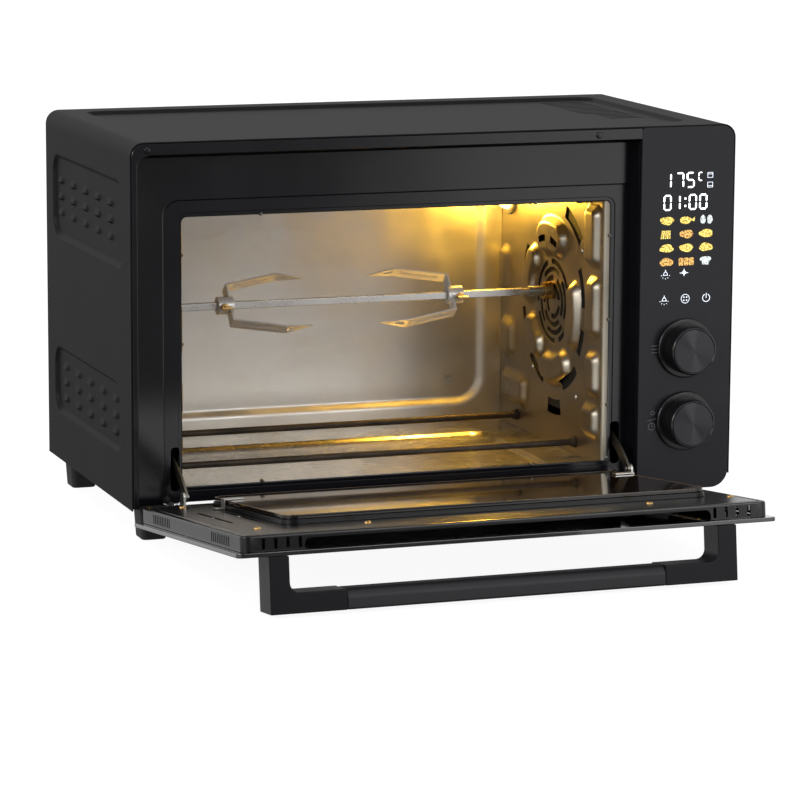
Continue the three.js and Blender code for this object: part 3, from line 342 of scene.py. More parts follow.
class Shader:
    """Short calls for the nodes of one material. Coordinates are the frame's metres."""

    def __init__(self, name):
        self.material = bpy.data.materials.new(name)
        self.material.use_nodes = True
        self.nodes = self.material.node_tree.nodes
        self.links = self.material.node_tree.links
        self.main = self.nodes["Principled BSDF"]
        self.place = self.nodes.new("ShaderNodeTexCoord").outputs["Object"]

    def set(self, **values):
        names = {"color": "Base Color", "coat": "Coat Weight", "coat_rough": "Coat Roughness",
                 "glow": "Emission Color", "glow_strength": "Emission Strength",
                 "clear": "Transmission Weight", "specular": "Specular IOR Level"}
        for key, value in values.items():
            self.main.inputs[names.get(key, key.capitalize())].default_value = value
        return self

    def stretched(self, scale):
        mapping = self.nodes.new("ShaderNodeMapping")
        mapping.inputs["Scale"].default_value = scale
        self.links.new(self.place, mapping.inputs["Vector"])
        return mapping.outputs["Vector"]

    def noise(self, size, detail=3, scale=(1, 1, 1)):
        """Noise whose patches are about size millimetres wide."""
        texture = self.nodes.new("ShaderNodeTexNoise")
        texture.inputs["Scale"].default_value = 1 / (size * MM)
        texture.inputs["Detail"].default_value = detail
        self.links.new(self.stretched(scale), texture.inputs["Vector"])
        return texture.outputs["Fac"]

    def ramp(self, value, low, high, start=0.3, end=0.7):
        """Value, such as noise, mapped from start..end to low..high."""
        return map_range(self.material.node_tree, value, start, end, low, high)

    def mix(self, value, first, second):
        """Colour between two colours."""
        node = self.nodes.new("ShaderNodeMix")
        node.data_type = "RGBA"
        node.inputs[6].default_value = (*first, 1)
        node.inputs[7].default_value = (*second, 1)
        self.links.new(value, node.inputs[0])
        return node.outputs[2]

    def combine(self, first, second, operation="ADD"):
        node = self.nodes.new("ShaderNodeMath")
        node.operation = operation
        for i, value in enumerate((first, second)):
            if isinstance(value, (int, float)):
                node.inputs[i].default_value = value
            else:
                self.links.new(value, node.inputs[i])
        return node.outputs[0]

    def color(self, output):
        self.links.new(output, self.main.inputs["Base Color"])
        return self

    def roughness(self, output):
        self.links.new(output, self.main.inputs["Roughness"])
        return self

    def relief(self, height, depth):
        """Bump whose height range is depth millimetres."""
        bump = self.nodes.new("ShaderNodeBump")
        bump.inputs["Distance"].default_value = depth * MM
        self.links.new(height, bump.inputs["Height"])
        self.links.new(bump.outputs["Normal"], self.main.inputs["Normal"])
        return self


def coated(name, color, rough, grain=0.35, depth=0.01, spread=0.08, tint=0.25, **values):
    """Painted or moulded surface: fine grain, faint patches in colour and gloss."""
    s = Shader(name)
    s.set(**values)
    patches = s.noise(60, 4)
    light = tuple(c * (1 + tint) for c in color)
    s.color(s.mix(s.ramp(patches, 0, 1), color, light))
    s.roughness(s.combine(s.ramp(patches, rough - spread / 2, rough + spread / 2),
                          s.ramp(s.noise(grain * 2), -spread / 4, spread / 4)))
    s.relief(s.noise(grain), depth)
    return s.material


def rolled(name, color, rough, along=(1, 1, 1), depth=0.004, spread=0.14, metallic=1.0):
    """Bare metal with rolling streaks along the axis that has the small scale in along."""
    s = Shader(name)
    s.set(metallic=metallic)
    streaks = s.noise(0.6, 4, along)
    clouds = s.noise(45, 5)
    dark = tuple(c * 0.86 for c in color)
    s.color(s.mix(s.ramp(clouds, 0, 1), dark, color))
    s.roughness(s.combine(s.ramp(clouds, rough - spread / 2, rough + spread / 2),
                          s.ramp(streaks, -spread / 3, spread / 3)))
    s.relief(streaks, depth)
    return s.material


def heater_oxide():
    s = Shader("heater_oxide")
    s.set(metallic=0.55)
    blotches = s.noise(9, 5, (0.4, 1, 1))
    s.color(s.mix(s.ramp(blotches, 0, 1), (0.018, 0.014, 0.012), (0.06, 0.042, 0.03)))
    s.roughness(s.ramp(s.noise(2, 3), 0.38, 0.62))
    s.relief(s.noise(0.5, 4), 0.02)
    return s.material


def dark_pane():
    """Tinted inner pane: nearly black, with faint wipe marks in its gloss."""
    s = Shader("dark_pane")
    s.set(coat=0.35, coat_rough=0.02, specular=0.35)
    s.color(s.mix(s.ramp(s.noise(90, 3), 0, 1), (0.008, 0.005, 0.003), (0.014, 0.009, 0.005)))
    s.roughness(s.ramp(s.noise(70, 5, (0.3, 1, 1)), 0.03, 0.09))
    s.relief(s.noise(60, 2), 0.0015)
    return s.material


def outer_pane():
    s = Shader("outer_pane")
    s.set(coat=1.0, coat_rough=0.03)
    s.color(s.mix(s.ramp(s.noise(90, 3), 0, 1), (0.006, 0.006, 0.007), (0.01, 0.01, 0.011)))
    s.roughness(s.ramp(s.noise(60, 4), 0.05, 0.12))
    s.relief(s.noise(50, 2), 0.003)
    return s.material


def pane_edge():
    """Ground edge of the pane; its brown is a painted glow of the warm light inside."""
    s = Shader("pane_edge")
    s.color(s.mix(s.ramp(s.noise(20, 3), 0, 1), (0.10, 0.06, 0.03), (0.2, 0.13, 0.07)))
    s.roughness(s.ramp(s.noise(3, 3), 0.25, 0.4))
    s.relief(s.noise(0.5, 2), 0.01)
    return s.material


def spun_black():
    """Black anodised face with fine turning rings, so its highlight fans out from the middle."""
    s = Shader("spun_black")
    s.set(metallic=1.0, color=(0.05, 0.05, 0.055, 1))
    s.main.inputs["Anisotropic"].default_value = 0.95
    s.main.inputs["Anisotropic Rotation"].default_value = 0.25
    tangent = s.nodes.new("ShaderNodeTangent")
    tangent.direction_type = "RADIAL"
    tangent.axis = "Y"
    s.links.new(tangent.outputs[0], s.main.inputs["Tangent"])
    s.roughness(s.ramp(s.noise(0.4, 3), 0.2, 0.3))
    s.relief(s.noise(0.3, 2), 0.002)
    return s.material


def glowing(name, color, strength):
    s = Shader(name)
    flicker = s.ramp(s.noise(1.5, 2), strength * 0.9, strength * 1.1)
    s.set(color=(*color, 1), glow=(*color, 1), roughness=0.4)
    s.links.new(flicker, s.main.inputs["Emission Strength"])
    return s.material


def lamp_glass():
    s = Shader("lamp_glass")
    s.set(color=(1, 0.93, 0.78, 1), clear=0.9, glow=(1.0, 0.62, 0.22, 1), glow_strength=1.6)
    s.roughness(s.ramp(s.noise(4, 3), 0.12, 0.25))
    s.relief(s.noise(3, 2), 0.05)
    return s.material


# painted and moulded surfaces
PAINT = coated("cover_paint", (0.006, 0.006, 0.0062), 0.42, grain=0.5, depth=0.012, specular=0.0,
               coat=0.27, coat_rough=0.4)
ENAMEL = coated("frame_enamel", (0.004, 0.004, 0.006), 0.18, grain=0.6, depth=0.003, spread=0.05,
                specular=0.5)
DOOR_ENAMEL = coated("door_enamel", (0.004, 0.004, 0.005), 0.24, grain=0.6, depth=0.002, spread=0.05,
                     specular=0.4)
PANEL_GLASS = coated("panel_glass", (0.013, 0.0125, 0.0165), 0.2, grain=2, depth=0.0008, spread=0.05,
                     tint=0.08, specular=0.24)
MOULDED = coated("moulded_black", (0.010, 0.010, 0.011), 0.45, grain=0.4, depth=0.014)
KNOB_BLACK = coated("knob_black", (0.006, 0.006, 0.007), 0.24, grain=0.5, depth=0.003, spread=0.06)
HANDLE = coated("handle_plastic", (0.007, 0.007, 0.009), 0.38, grain=0.35, depth=0.012, specular=0.2)
GRIP = coated("grip_plastic", (0.012, 0.012, 0.0145), 0.5, grain=0.25, depth=0.02, specular=0.4)
RUBBER = coated("foot_rubber", (0.008, 0.008, 0.008), 0.7, grain=0.5, depth=0.03)
MARK = coated("printed_mark", (0.16, 0.16, 0.17), 0.5, grain=0.3, depth=0.002)
# near-black matte for plates put just behind slots: painted shade, not a part of the oven
SHADE_BLACK = coated("painted_shade_black", (0.003, 0.003, 0.003), 0.8, grain=0.5, depth=0.01)

# bare metals
# steel of the side walls, darker than that of the back wall and floor: painted shade
SHADED_WALL_STEEL = rolled("shaded_wall_steel", (0.42, 0.38, 0.31), 0.34, along=(1, 1, 0.04))
BACK_STEEL = rolled("back_steel", (0.60, 0.575, 0.54), 0.42, along=(0.05, 1, 1))
FLOOR_STEEL = rolled("floor_steel", (0.56, 0.53, 0.47), 0.27, along=(0.05, 1, 1), depth=0.0012,
                     spread=0.05)
FORK_STEEL = rolled("fork_steel", (0.86, 0.85, 0.84), 0.34, along=(0.15, 1, 1), spread=0.1,
                    metallic=0.35)
SPIT_STEEL = rolled("spit_steel", (0.6, 0.57, 0.54), 0.3, along=(0.3, 1, 1), depth=0.008, spread=0.16)
PLATED = rolled("plated_steel", (0.5, 0.49, 0.47), 0.34, along=(1, 0.2, 1))
DARK_STEEL = rolled("dark_steel", (0.22, 0.2, 0.17), 0.36, along=(1, 0.3, 1))
BRASS = rolled("warm_brass", (0.62, 0.4, 0.16), 0.3, along=(0.3, 1, 1))

# surfaces with nodes of their own
OXIDE = heater_oxide()
DARK_PANE = dark_pane()
OUTER_PANE = outer_pane()
PANE_EDGE = pane_edge()
SPUN = spun_black()
LAMP_GLASS = lamp_glass()
DIGIT_GLOW = glowing("digit_glow", (0.9, 0.95, 1.0), 3.0)
WHITE_GLOW = glowing("white_glow", (0.8, 0.85, 0.95), 1.0)


# ---------------- outer cover
COVER_LOW, COVER_HIGH = box("outer_cover")
COVER_RADIUS = 12
COVER_SHEET = 1
LEFT, BASE, TOP = COVER_LOW[0], COVER_LOW[2], COVER_HIGH[2]
DEPTH = COVER_HIGH[1]

# lengths round the folded sheet: straight side, quarter turn, straight top
SIDE = TOP - BASE - COVER_RADIUS
FOLD = COVER_RADIUS * math.pi / 2
ACROSS = COVER_HIGH[0] - LEFT - 2 * COVER_RADIUS


def cover_profile(distance, raised):
    """Point of the folded sheet at a distance round it, from its lower left edge."""
    d = np.minimum(distance, 2 * SIDE + 2 * FOLD + ACROSS - distance)
    angle = np.clip((d - SIDE) / FOLD, 0, 1) * math.pi / 2
    radius = COVER_RADIUS + raised
    x = LEFT + COVER_RADIUS - radius * np.cos(angle) + np.clip(d - SIDE - FOLD, 0, None)
    z = BASE + np.minimum(d, SIDE) + radius * np.sin(angle)
    right = distance > SIDE + FOLD + ACROSS / 2
    return np.where(right, -x, x), z


RECESS_DEPTH = 2.8
TOP_SLOTS = {"count": 14, "first": 98, "pitch": 11, "left": 186, "right": 229}
LOUVRE_LENGTH = 17
LOUVRE_RISE = 2.4
LOUVRES = [(73 + 41.5 * column, z) for column in range(5) for z in (282, 267.5, 253)]
LOUVRES += [(60 + 42 * column, z) for column in range(5) for z in (115, 101, 86.5)]


def louvre_height(y, z):
    """Small hood in the left side, open at its lower edge."""
    hood = np.clip((3.6 - z) / 6, 0, 1) * soft_step((z + 3.2) / 1.2)
    return LOUVRE_RISE * hood * soft_step((LOUVRE_LENGTH / 2 - np.abs(y)) / 3)


def cover_shape():
    """Folded sheet with a recess in its top, two in its left side, and louvres in those two."""
    total = 2 * (SIDE + FOLD) + ACROSS
    from_left = SIDE + FOLD - (LEFT + COVER_RADIUS)  # distance round = x + this, on the top
    top_recess = ((-245 + from_left, 31), (241.5 + from_left, 260))
    side_recesses = [((45, 36), (102, 257)), ((204, 26), (275, 258))]

    def height(distance, y):
        h = -RECESS_DEPTH * pressed(distance, y, *top_recess, 14, 2.4)
        for low, high in side_recesses:
            h = h - RECESS_DEPTH * pressed(distance, y, low, high, 16, 3.6)
        for louvre_y, louvre_z in LOUVRES:
            h = h + louvre_height(y - louvre_y, distance + BASE - louvre_z)
        return h

    def place(distance, y):
        x, z = cover_profile(distance, height(distance, y))
        return x, y, z

    edges = [v for low, high in side_recesses for v in (low[0], high[0])]
    edges += [top_recess[0][0], top_recess[1][0]]
    folds = list(np.linspace(SIDE, SIDE + FOLD, 9))
    edges += [z - BASE for _, z in LOUVRES]
    us = lines_between(0, total, 9, edges, reach=18, step=1.2)
    us = np.unique(np.concatenate([us, folds, [total - f for f in folds]]))
    ys = [v for low, high in (*side_recesses, top_recess) for v in (low[1], high[1])]
    ys += [y for y, _ in LOUVRES]
    vs = lines_between(0, DEPTH, 9, ys, reach=18, step=1.2)
    return sheet_shape(us, vs, place)


def build_cover():
    cover = new_object("cover", cover_shape())
    thicken(cover, COVER_SHEET, -1)
    half = LOUVRE_LENGTH / 2 - 1.5
    holes = [prism(rounded(y - half, y + half, z - 2.9, z - 1.9, 0.4, 3), "x", LEFT - 5, LEFT + 8)
             for y, z in LOUVRES]
    for k in range(TOP_SLOTS["count"]):
        y = TOP_SLOTS["first"] + TOP_SLOTS["pitch"] * k
        start = TOP_SLOTS["left"] + (9 if k < 4 else 0)  # the front four are shorter
        slot = rounded(start, TOP_SLOTS["right"], y - 1.8, y + 1.8, 1.7, 4)
        holes.append(prism(slot, "z", TOP - 8, TOP + 4))
    punch(cover, holes)
    bevel(cover, 0.25, 1, 50)
    dress(cover, PAINT, "cabinet", ["outer_cover"], 50)
    # near-black plate under the top slots: painted shadow inside the cover
    inside = prism(rounded(180, 233, 88, 252, 4), "z", TOP - 9, TOP - 8)
    piece("louvre_shadow_plate", inside, SHADE_BLACK, "cabinet")


# ---------------- front frame
FRAME_LOW, FRAME_HIGH = box("front_frame")
FRAME_SHEET = 1.5
RECESS = FRAME_HIGH[1] - FRAME_SHEET  # the field's distance behind the lip
OPENING = {"left": -224.0, "right": 167.0, "bottom": 41.5, "top": 273.0}
PRESSED_SHEET = 0.7
ARM_SLOTS = (-230.6, 173.6)

# rounded lip, bevel, step down to the field's raised band, band, field:
# inset from the left edge, inset from the top edge, corner radius, depth
LIP_PROFILE = [
    (0, 0, 11, 2), (0, 0, 11, 0.6), (0.6, 0.6, 10.5, 0),
    (4.4, 9.4, 12, 0), (5, 10, 12, 0.4),
    (6.2, 12.2, 9, 4.4), (6.5, 12.7, 8.5, 5.6), (6.8, 13.1, 8, RECESS - 2.6),
    (9.8, 13.6, 9, RECESS - 2), (32, 50, 14, RECESS - 2),
    (32.8, 50.8, 14, RECESS - 1.6), (33.6, 51.6, 14, RECESS),
]


def lip_path(left_inset, top_inset, corner):
    """Line up the left side and along the top of the frame, at a distance from each edge."""
    left, top = FRAME_LOW[0] + left_inset, FRAME_HIGH[2] - top_inset
    path = [(left, FRAME_LOW[2]), (left, top - corner)]
    for k in range(1, 13):
        angle = math.pi - math.pi / 2 * k / 12
        path.append((left + corner + corner * math.cos(angle), top - corner + corner * math.sin(angle)))
    return [*path, (FRAME_HIGH[0], top)]


def frame_shape():
    paths = [(lip_path(*insets), depth) for *insets, depth in LIP_PROFILE]
    skin = loft([[(x, depth, z) for x, z in path] for path, depth in paths], closed=False)
    around = [*paths[-1][0], (FRAME_HIGH[0], FRAME_LOW[2])]

    def rim(grow, y):
        outline = rounded(OPENING["left"] - grow, OPENING["right"] + grow, OPENING["bottom"] - grow,
                          OPENING["top"] + grow, 5 + grow, 8)
        return [(x, y, z) for x, z in outline]

    field = plate_with_hole(around, [(x, z) for x, _, z in rim(4, 0)], RECESS)
    collar = loft([rim(4, RECESS), rim(3.4, RECESS + 1), rim(0.8, RECESS + 1), rim(0, RECESS + 1.8),
                   rim(0, RECESS + 3)])
    return together([skin, field, collar])


def build_front_frame():
    front = new_object("front_frame_pressing", frame_shape())
    thicken(front, PRESSED_SHEET, -1)
    slots = [prism(rounded(x - 4.2, x + 4.2, 38.5, 76.5, 3.5), "y", RECESS - 4, RECESS + 4)
             for x in ARM_SLOTS]
    punch(front, slots)
    dress(front, ENAMEL, "cabinet", ["front_frame"], 30)
    refine("frame_screw_left", ENAMEL, 0.2)
    refine("frame_screw_right", ENAMEL, 0.2)
    nubs = [(x, OPENING["top"] + 0.4) for x in (-153.7, 97)]
    nubs += [(x, OPENING["bottom"] + 0.6) for x in (-152.2, 95.2)]
    nubs += [(OPENING["left"] + 0.4, z) for z in (240.7, 164.6)]
    nubs += [(OPENING["right"] - 0.4, z) for z in (242.3, 167.6, 91.5)]
    profile = [(0, RECESS + 0.4), (1.0, RECESS + 0.6), (1.5, RECESS + 1.4), (1.5, RECESS + 6),
               (0, RECESS + 6)]
    ends = [turned(profile, "y", nub, 16) for nub in nubs]
    piece("opening_screw_ends", together(ends), DARK_STEEL, "cabinet")
    near, far = PANEL_LOW[0] - 0.2, PANEL_LOW[0] - 1.2
    low, high = FRAME_LOW[2], FRAME_HIGH[2] - 2
    filler = prism([(near, low), (near, high), (far, high), (far, low)], "y", 3, RECESS)
    piece("panel_side_liner", filler, ENAMEL, "cabinet")


# ---------------- cooking cavity
WALL_LOW, WALL_HIGH = box("cavity_right_wall")
BACK_LOW, BACK_HIGH = box("cavity_back_wall")
FLOOR_LOW, FLOOR_HIGH = box("cavity_floor")
SPIT_LOW, SPIT_HIGH = box("spit_drive")
SPIT = across_x(SPIT_LOW, SPIT_HIGH)
GRILLE = (SPIT[0] - 4, SPIT[1] - 9.5)
LAMP_LOW, LAMP_HIGH = box("lamp_lens")
LAMP = across_x(LAMP_LOW, LAMP_HIGH)
LEFT_WALL_X, RIGHT_WALL_X = box("cavity_left_wall")[1][0], WALL_LOW[0]
RIGHT_WALL_SCREWS = [(203, 250), (75, 222), (192, 99), (86, 88)]
BACK_BORDER = 20  # flat border round the back wall's pressing
HEATERS = [f"{level}_{row}" for level in ("bottom", "top") for row in ("front", "back")]

# rack bumps near the back and near the front: lowest and highest (y, z)
RACK_BUMPS = [((252, 160), (270, 201)), ((240, 101), (267, 134)), ((207, 60), (263, 85)),
              ((34, 214), (60, 264)), ((33, 151), (56, 200)), ((33, 98), (56, 134)), ((33, 61), (64, 86))]
# pressed petals round the grille: angle, radius, half span in degrees, half width
PETALS = [(90, 60, 29, 15), (20, 56, 28, 11), (-42, 56, 22, 12), (186, 55, 30, 11), (-100, 62, 30, 12)]
# long slots round the grille: radius, width, angle, half span
RING_SLOTS = [(75, 8, 18, 17), (74, 8, -22, 10), (78, 9, -60, 14), (78, 9, -122, 14), (73, 8, 203, 10),
              (73, 8, 163, 14), (90, 12, 122, 14), (97, 14, -93, 9)]


def bumps(y, z):
    """Height of the rack bumps of a side wall, towards the cavity."""
    height = np.zeros_like(y)
    for low, high in RACK_BUMPS:
        height = np.maximum(height, 6 * pressed(y, z, low, high, 7, 9))
    return height


def petals(y, z):
    """Height of the petals round the right wall's grille, towards the cavity."""
    radius = np.hypot(y - GRILLE[0], z - GRILLE[1])
    angle = np.degrees(np.arctan2(z - GRILLE[1], y - GRILLE[0]))
    height = np.zeros_like(y)
    for middle, petal_radius, half_span, half_width in PETALS:
        turn = (angle - middle + 180) % 360 - 180
        along = np.abs(turn) * math.pi / 180 * petal_radius
        reach = math.radians(half_span) * petal_radius - half_width
        away = np.hypot(np.maximum(along - reach, 0), radius - petal_radius) - half_width
        height = np.maximum(height, 6.5 * soft_step(0.5 - away / 8))
    return height


def side_wall_shape(x, edge, sign, height):
    """Pressed wall at x that flares to the opening's edge at its front."""
    us = np.arange(WALL_LOW[1], WALL_HIGH[1], 1.7)
    vs = np.arange(WALL_LOW[2], WALL_HIGH[2], 1.7)
    us = np.append(us, WALL_HIGH[1])
    vs = np.append(vs, WALL_HIGH[2])

    def place(y, z):
        flare = np.clip(1 - (y - WALL_LOW[1]) / 5, 0, 1) ** 2
        return x - sign * height(y, z) + flare * (edge - x), y, z

    return sheet_shape(us, vs, place)


def grille_slots():
    """Rings of short slots in front of the fan, and the long slots round them."""
    outlines = [arc_band(GRILLE, radius, width, angle, span) for radius, width, angle, span in RING_SLOTS]
    for ring, radius in enumerate((14, 21.5, 29, 36.5)):
        parts = 3 if ring < 2 else 4
        half_span = 180 / parts - 90 / radius - 5
        for k in range(parts):
            outlines.append(arc_band(GRILLE, radius, 4.8, 360 / parts * k + 40 * ring, half_span, 14))
    for turn in (76, 104):
        outlines.append(arc_band(GRILLE, 58, 6, turn, 8))
    return outlines


def build_right_wall():
    x = RIGHT_WALL_X
    shape = side_wall_shape(x, OPENING["right"] - 0.4, 1, lambda y, z: bumps(y, z) + petals(y, z))
    wall = new_object("right_wall_pressing", shape)
    thicken(wall, PRESSED_SHEET, 1)
    punch(wall, [prism(outline, "x", x - 12, x + 5) for outline in grille_slots()])
    bores = [(SPIT, 5.6), (LAMP, 15)]
    punch(wall, [turned([(0, x - 9), (radius, x - 9), (radius, x + 5), (0, x + 5)], "x", centre, 40)
                 for centre, radius in bores])
    dress(wall, SHADED_WALL_STEEL, "cabinet", ["cavity_right_wall"], 60)
    # near-black plate just behind the grille: painted shade seen through its slots
    shade_plate = prism(rounded(50, 240, 70, 262, 20), "x", x + 1.2, x + 1.6)
    piece("grille_shade_plate", shade_plate, SHADE_BLACK, "cabinet")


def build_left_wall():
    wall = new_object("left_wall_pressing", side_wall_shape(LEFT_WALL_X, LEFT_WALL_X, -1, bumps))
    thicken(wall, PRESSED_SHEET, 1)
    dress(wall, SHADED_WALL_STEEL, "cabinet", ["cavity_left_wall"], 60)


def build_wall_screws():
    x = RIGHT_WALL_X
    profile = [(0, x - 1.2), (1.6, x - 1.0), (2.4, x - 0.1), (2.4, x + 0.2), (0, x + 0.2)]
    heads = [turned(profile, "x", place, 20) for place in RIGHT_WALL_SCREWS]
    piece("wall_screw_heads", together(heads), PLATED, "cabinet")


def build_back_wall():
    start, end = BACK_LOW[[0, 2]], BACK_HIGH[[0, 2]]
    low, high = start + BACK_BORDER, end - BACK_BORDER
    us, vs = (lines_between(start[i], end[i], 12, (low[i], high[i]), reach=24, step=1.5) for i in (0, 1))

    def place(x, z):
        return x, BACK_LOW[1] + 4.5 * pressed(x, z, low, high, 24, 9) - 4.5, z

    wall = new_object("back_wall_pressing", sheet_shape(us, vs, place))
    thicken(wall, PRESSED_SHEET, -1)
    dress(wall, BACK_STEEL, "cabinet", ["cavity_back_wall"], 60)
    y = BACK_LOW[1]
    rivet = [(0, y - 1.6), (1.4, y - 1.5), (1.6, y - 0.8), (3.0, y - 1.2), (3.4, y - 0.4), (3.4, y + 0.2),
             (0, y + 0.2)]
    piece("back_wall_rivet", turned(rivet, "y", (111, 78), 28), PLATED, "cabinet")


def build_floor():
    start, end = FLOOR_LOW[:2], FLOOR_HIGH[:2]
    low, high = start + (34, 30), end - (38, 58)
    us, vs = (lines_between(start[i], end[i], 12, (low[i], high[i]), reach=20, step=1.5) for i in (0, 1))

    def place(x, y):
        return x, y, FLOOR_HIGH[2] - 3.5 * pressed(x, y, low, high, 14, 6)

    floor = new_object("floor_pressing", sheet_shape(us, vs, place))
    thicken(floor, PRESSED_SHEET, -1)
    dress(floor, FLOOR_STEEL, "cabinet", ["cavity_floor"], 60)
    refine("cavity_ceiling", FLOOR_STEEL, 0)


def heating_tube(low, high):
    """Tube with thin terminals and rounded ends, along x between the ends of a CAD tube."""
    half = [(0, 0), (1, 0), (1, 2), (2.7, 2), (3, 2.4)]
    profile = [(radius, low[0] + along) for radius, along in half]
    profile += [(radius, high[0] - along) for radius, along in reversed(half)]
    return turned(profile, "x", across_x(low, high), 32)


def collar(x, centre):
    """Flanged ceramic collar that holds a tube in a wall, starting at x."""
    profile = [(3.1, x), (3.8, x), (4.4, x + 1), (4.4, x + 3.7), (5.4, x + 4), (5.4, x + 4.6),
               (3.1, x + 4.6), (3.1, x)]
    return turned(profile, "x", centre, 28)


def build_heaters():
    for name in HEATERS:
        tube = heating_tube(*box(f"heater_{name}"))
        piece(f"heating_tube_{name}", tube, OXIDE, "cabinet", [f"heater_{name}"])
    collars = [collar(x, across_x(*box(f"heater_{name}")))
               for name in HEATERS for x in (RIGHT_WALL_X - 5, LEFT_WALL_X + 0.3)]
    piece("heater_collars", together(collars), OXIDE, "cabinet")


def build_lamp():
    wall = WALL_LOW[0] - 0.3
    dome = [(15 * math.sin(a), wall - 2 - 13 * math.cos(a)) for a in np.linspace(0, math.pi / 2, 12)]
    inner = [(13.4 * math.sin(a), wall - 2 - 11.4 * math.cos(a)) for a in np.linspace(math.pi / 2, 0, 12)]
    lens = turned([*dome, (19, wall - 2), (19, wall), (13.4, wall), *inner], "x", LAMP, 48)
    piece("lamp_cover", lens, LAMP_GLASS, "cabinet", ["lamp_lens"])
    bezel = turned([(15.4, wall - 3), (18.6, wall - 3), (20, wall - 2), (20, wall), (15.4, wall),
                    (15.4, wall - 3)], "x", LAMP, 48)
    piece("lamp_bezel", bezel, PLATED, "cabinet")
    refine("lamp_bulb", glowing("bulb_glow", (1.0, 0.6, 0.2), 18), 0)
    refine("lamp_socket", coated("lamp_ceramic", (0.6, 0.58, 0.52), 0.6), 0.3)


def build_spit():
    """Spit with its forks, and the fan and motors behind the right wall."""
    refine("spit_rod", SPIT_STEEL, 0.35)
    refine("spit_drive", PLATED, 0.3)
    refine("drive_bush", BRASS, 0.5)
    refine("spit_bracket", PLATED, 0.2)
    for side in ("left", "right"):
        refine(f"fork_{side}", FORK_STEEL, 0.25)
        refine(f"thumb_screw_{side}", BRASS, 0.4)
    refine("fan_wheel", PLATED, 0.15)
    refine("fan_motor", MOULDED, 0.6)
    refine("motor_strap", PLATED, 0.2)
    refine("spit_gearmotor", PLATED, 0.6)


# ---------------- control panel
PANEL_LOW = box("control_glass")[0]
KNOB_BOXES = {level: box(f"knob_{level}") for level in ("upper", "lower")}
KNOB_HEIGHTS = [(low[2] + high[2]) / 2 for low, high in KNOB_BOXES.values()]
PANEL_MIDDLE = (KNOB_BOXES["upper"][0][0] + KNOB_BOXES["upper"][1][0]) / 2
SEGMENTS = {"0": "abcdef", "1": "bc", "5": "afgcd", "7": "abc", "C": "adef"}
DIGIT_RISE = 0.12
MARK_RISE = 0.1
MARK_SINK = 0.02


def on_glass(outline, rise=MARK_RISE):
    """Thin mark on the front of the panel's glass."""
    return prism(outline, "y", -rise, -MARK_SINK)


def bar(start, end, across, half_thick):
    """Bar with pointed ends, as pairs along and across it."""
    t = half_thick
    return [(start, across), (start + t, across + t), (end - t, across + t), (end, across),
            (end - t, across - t), (start + t, across - t)]


def segment_digit(digit, x, z, height):
    """Lit bars of a seven segment digit whose lower left corner is (x, z)."""
    width, thick, gap = height * 0.5, height * 0.11, height * 0.035
    half = height / 2
    level = {"a": height, "g": half, "d": 0}
    upright = {"f": (0, half), "b": (width, half), "e": (0, 0), "c": (width, 0)}
    bars = []
    for name in SEGMENTS[digit]:
        if name in level:
            outline = bar(x + gap, x + width - gap, z + level[name], thick / 2)
        else:
            u, v = x + upright[name][0], z + upright[name][1]
            outline = [(h, w) for w, h in bar(v + gap, v + half - gap, u, thick / 2)]
        bars.append(on_glass(outline, DIGIT_RISE))
    return bars


def build_digits():
    bars = []
    for digit, x in (("1", 207.7), ("7", 219.5), ("5", 229.6)):
        bars += segment_digit(digit, x, 285.5, 12.5)
    bars += segment_digit("C", 240.5, 291, 7)
    for digit, x in (("0", 208), ("1", 216.5), ("0", 232), ("0", 242)):
        bars += segment_digit(digit, x, 266, 12.5)
    for z in (269, 275.5):
        dot = [(227.2, z - 0.8), (228.8, z - 0.8), (228.8, z + 0.8), (227.2, z + 0.8)]
        bars.append(on_glass(dot, DIGIT_RISE))
    piece("display_digits", together(bars), DIGIT_GLOW, "cabinet")


def blob(x, z, w, h, wobble, seed):
    """Small rounded patch, wider than high."""
    rng = np.random.default_rng(seed)
    phase = rng.uniform(0, 6.28, 3)
    outline = []
    for k in range(28):
        a = 2 * math.pi * k / 28
        r = 1 + wobble * (math.sin(3 * a + phase[0]) + 0.6 * math.sin(5 * a + phase[1])) / 1.6
        outline.append((x + w / 2 * r * math.cos(a), z + h / 2 * r * math.sin(a)))
    return on_glass(outline)


def food_glow(name, first, second):
    """Lit food pictogram: mottled between two colours."""
    s = Shader(name)
    tone = s.mix(s.ramp(s.noise(1.5, 4), 0, 1, 0.42, 0.56), first, second)
    s.color(tone)
    s.links.new(tone, s.main.inputs["Emission Color"])
    s.set(glow_strength=0.95)
    s.roughness(s.ramp(s.noise(2), 0.3, 0.5))
    return s.material


def egg_pair(x, z):
    return together([blob(x - 3.2, z, 5, 8, 0.05, 1), blob(x + 3.4, z, 5, 8, 0.05, 2)])


def fish(x, z):
    tail = on_glass([(x + 4, z), (x + 8, z + 3), (x + 7.4, z - 1.4)])
    return together([blob(x - 1, z, 11, 6.5, 0.04, 3), tail])


def chips(x, z):
    return together([on_glass([(x - 6 + 2 * i, z - 3.6), (x - 4.6 + 2 * i, z - 3.6),
                               (x - 3.4 + 1.7 * i, z + 3.6), (x - 4.8 + 1.7 * i, z + 3.6)])
                     for i in range(5)])


def slices(x, z):
    return together([on_glass(rounded(x - 7 + 5 * i, x - 2.6 + 5 * i, z - 3.4, z + 3.4, 1))
                     for i in range(3)])


def cook_hat(x, z):
    band = on_glass([(x - 3, z - 3.4), (x + 3, z - 3.4), (x + 3.6, z), (x - 3.6, z)])
    return together([blob(x, z + 1.4, 11, 5, 0.08, 4), band])


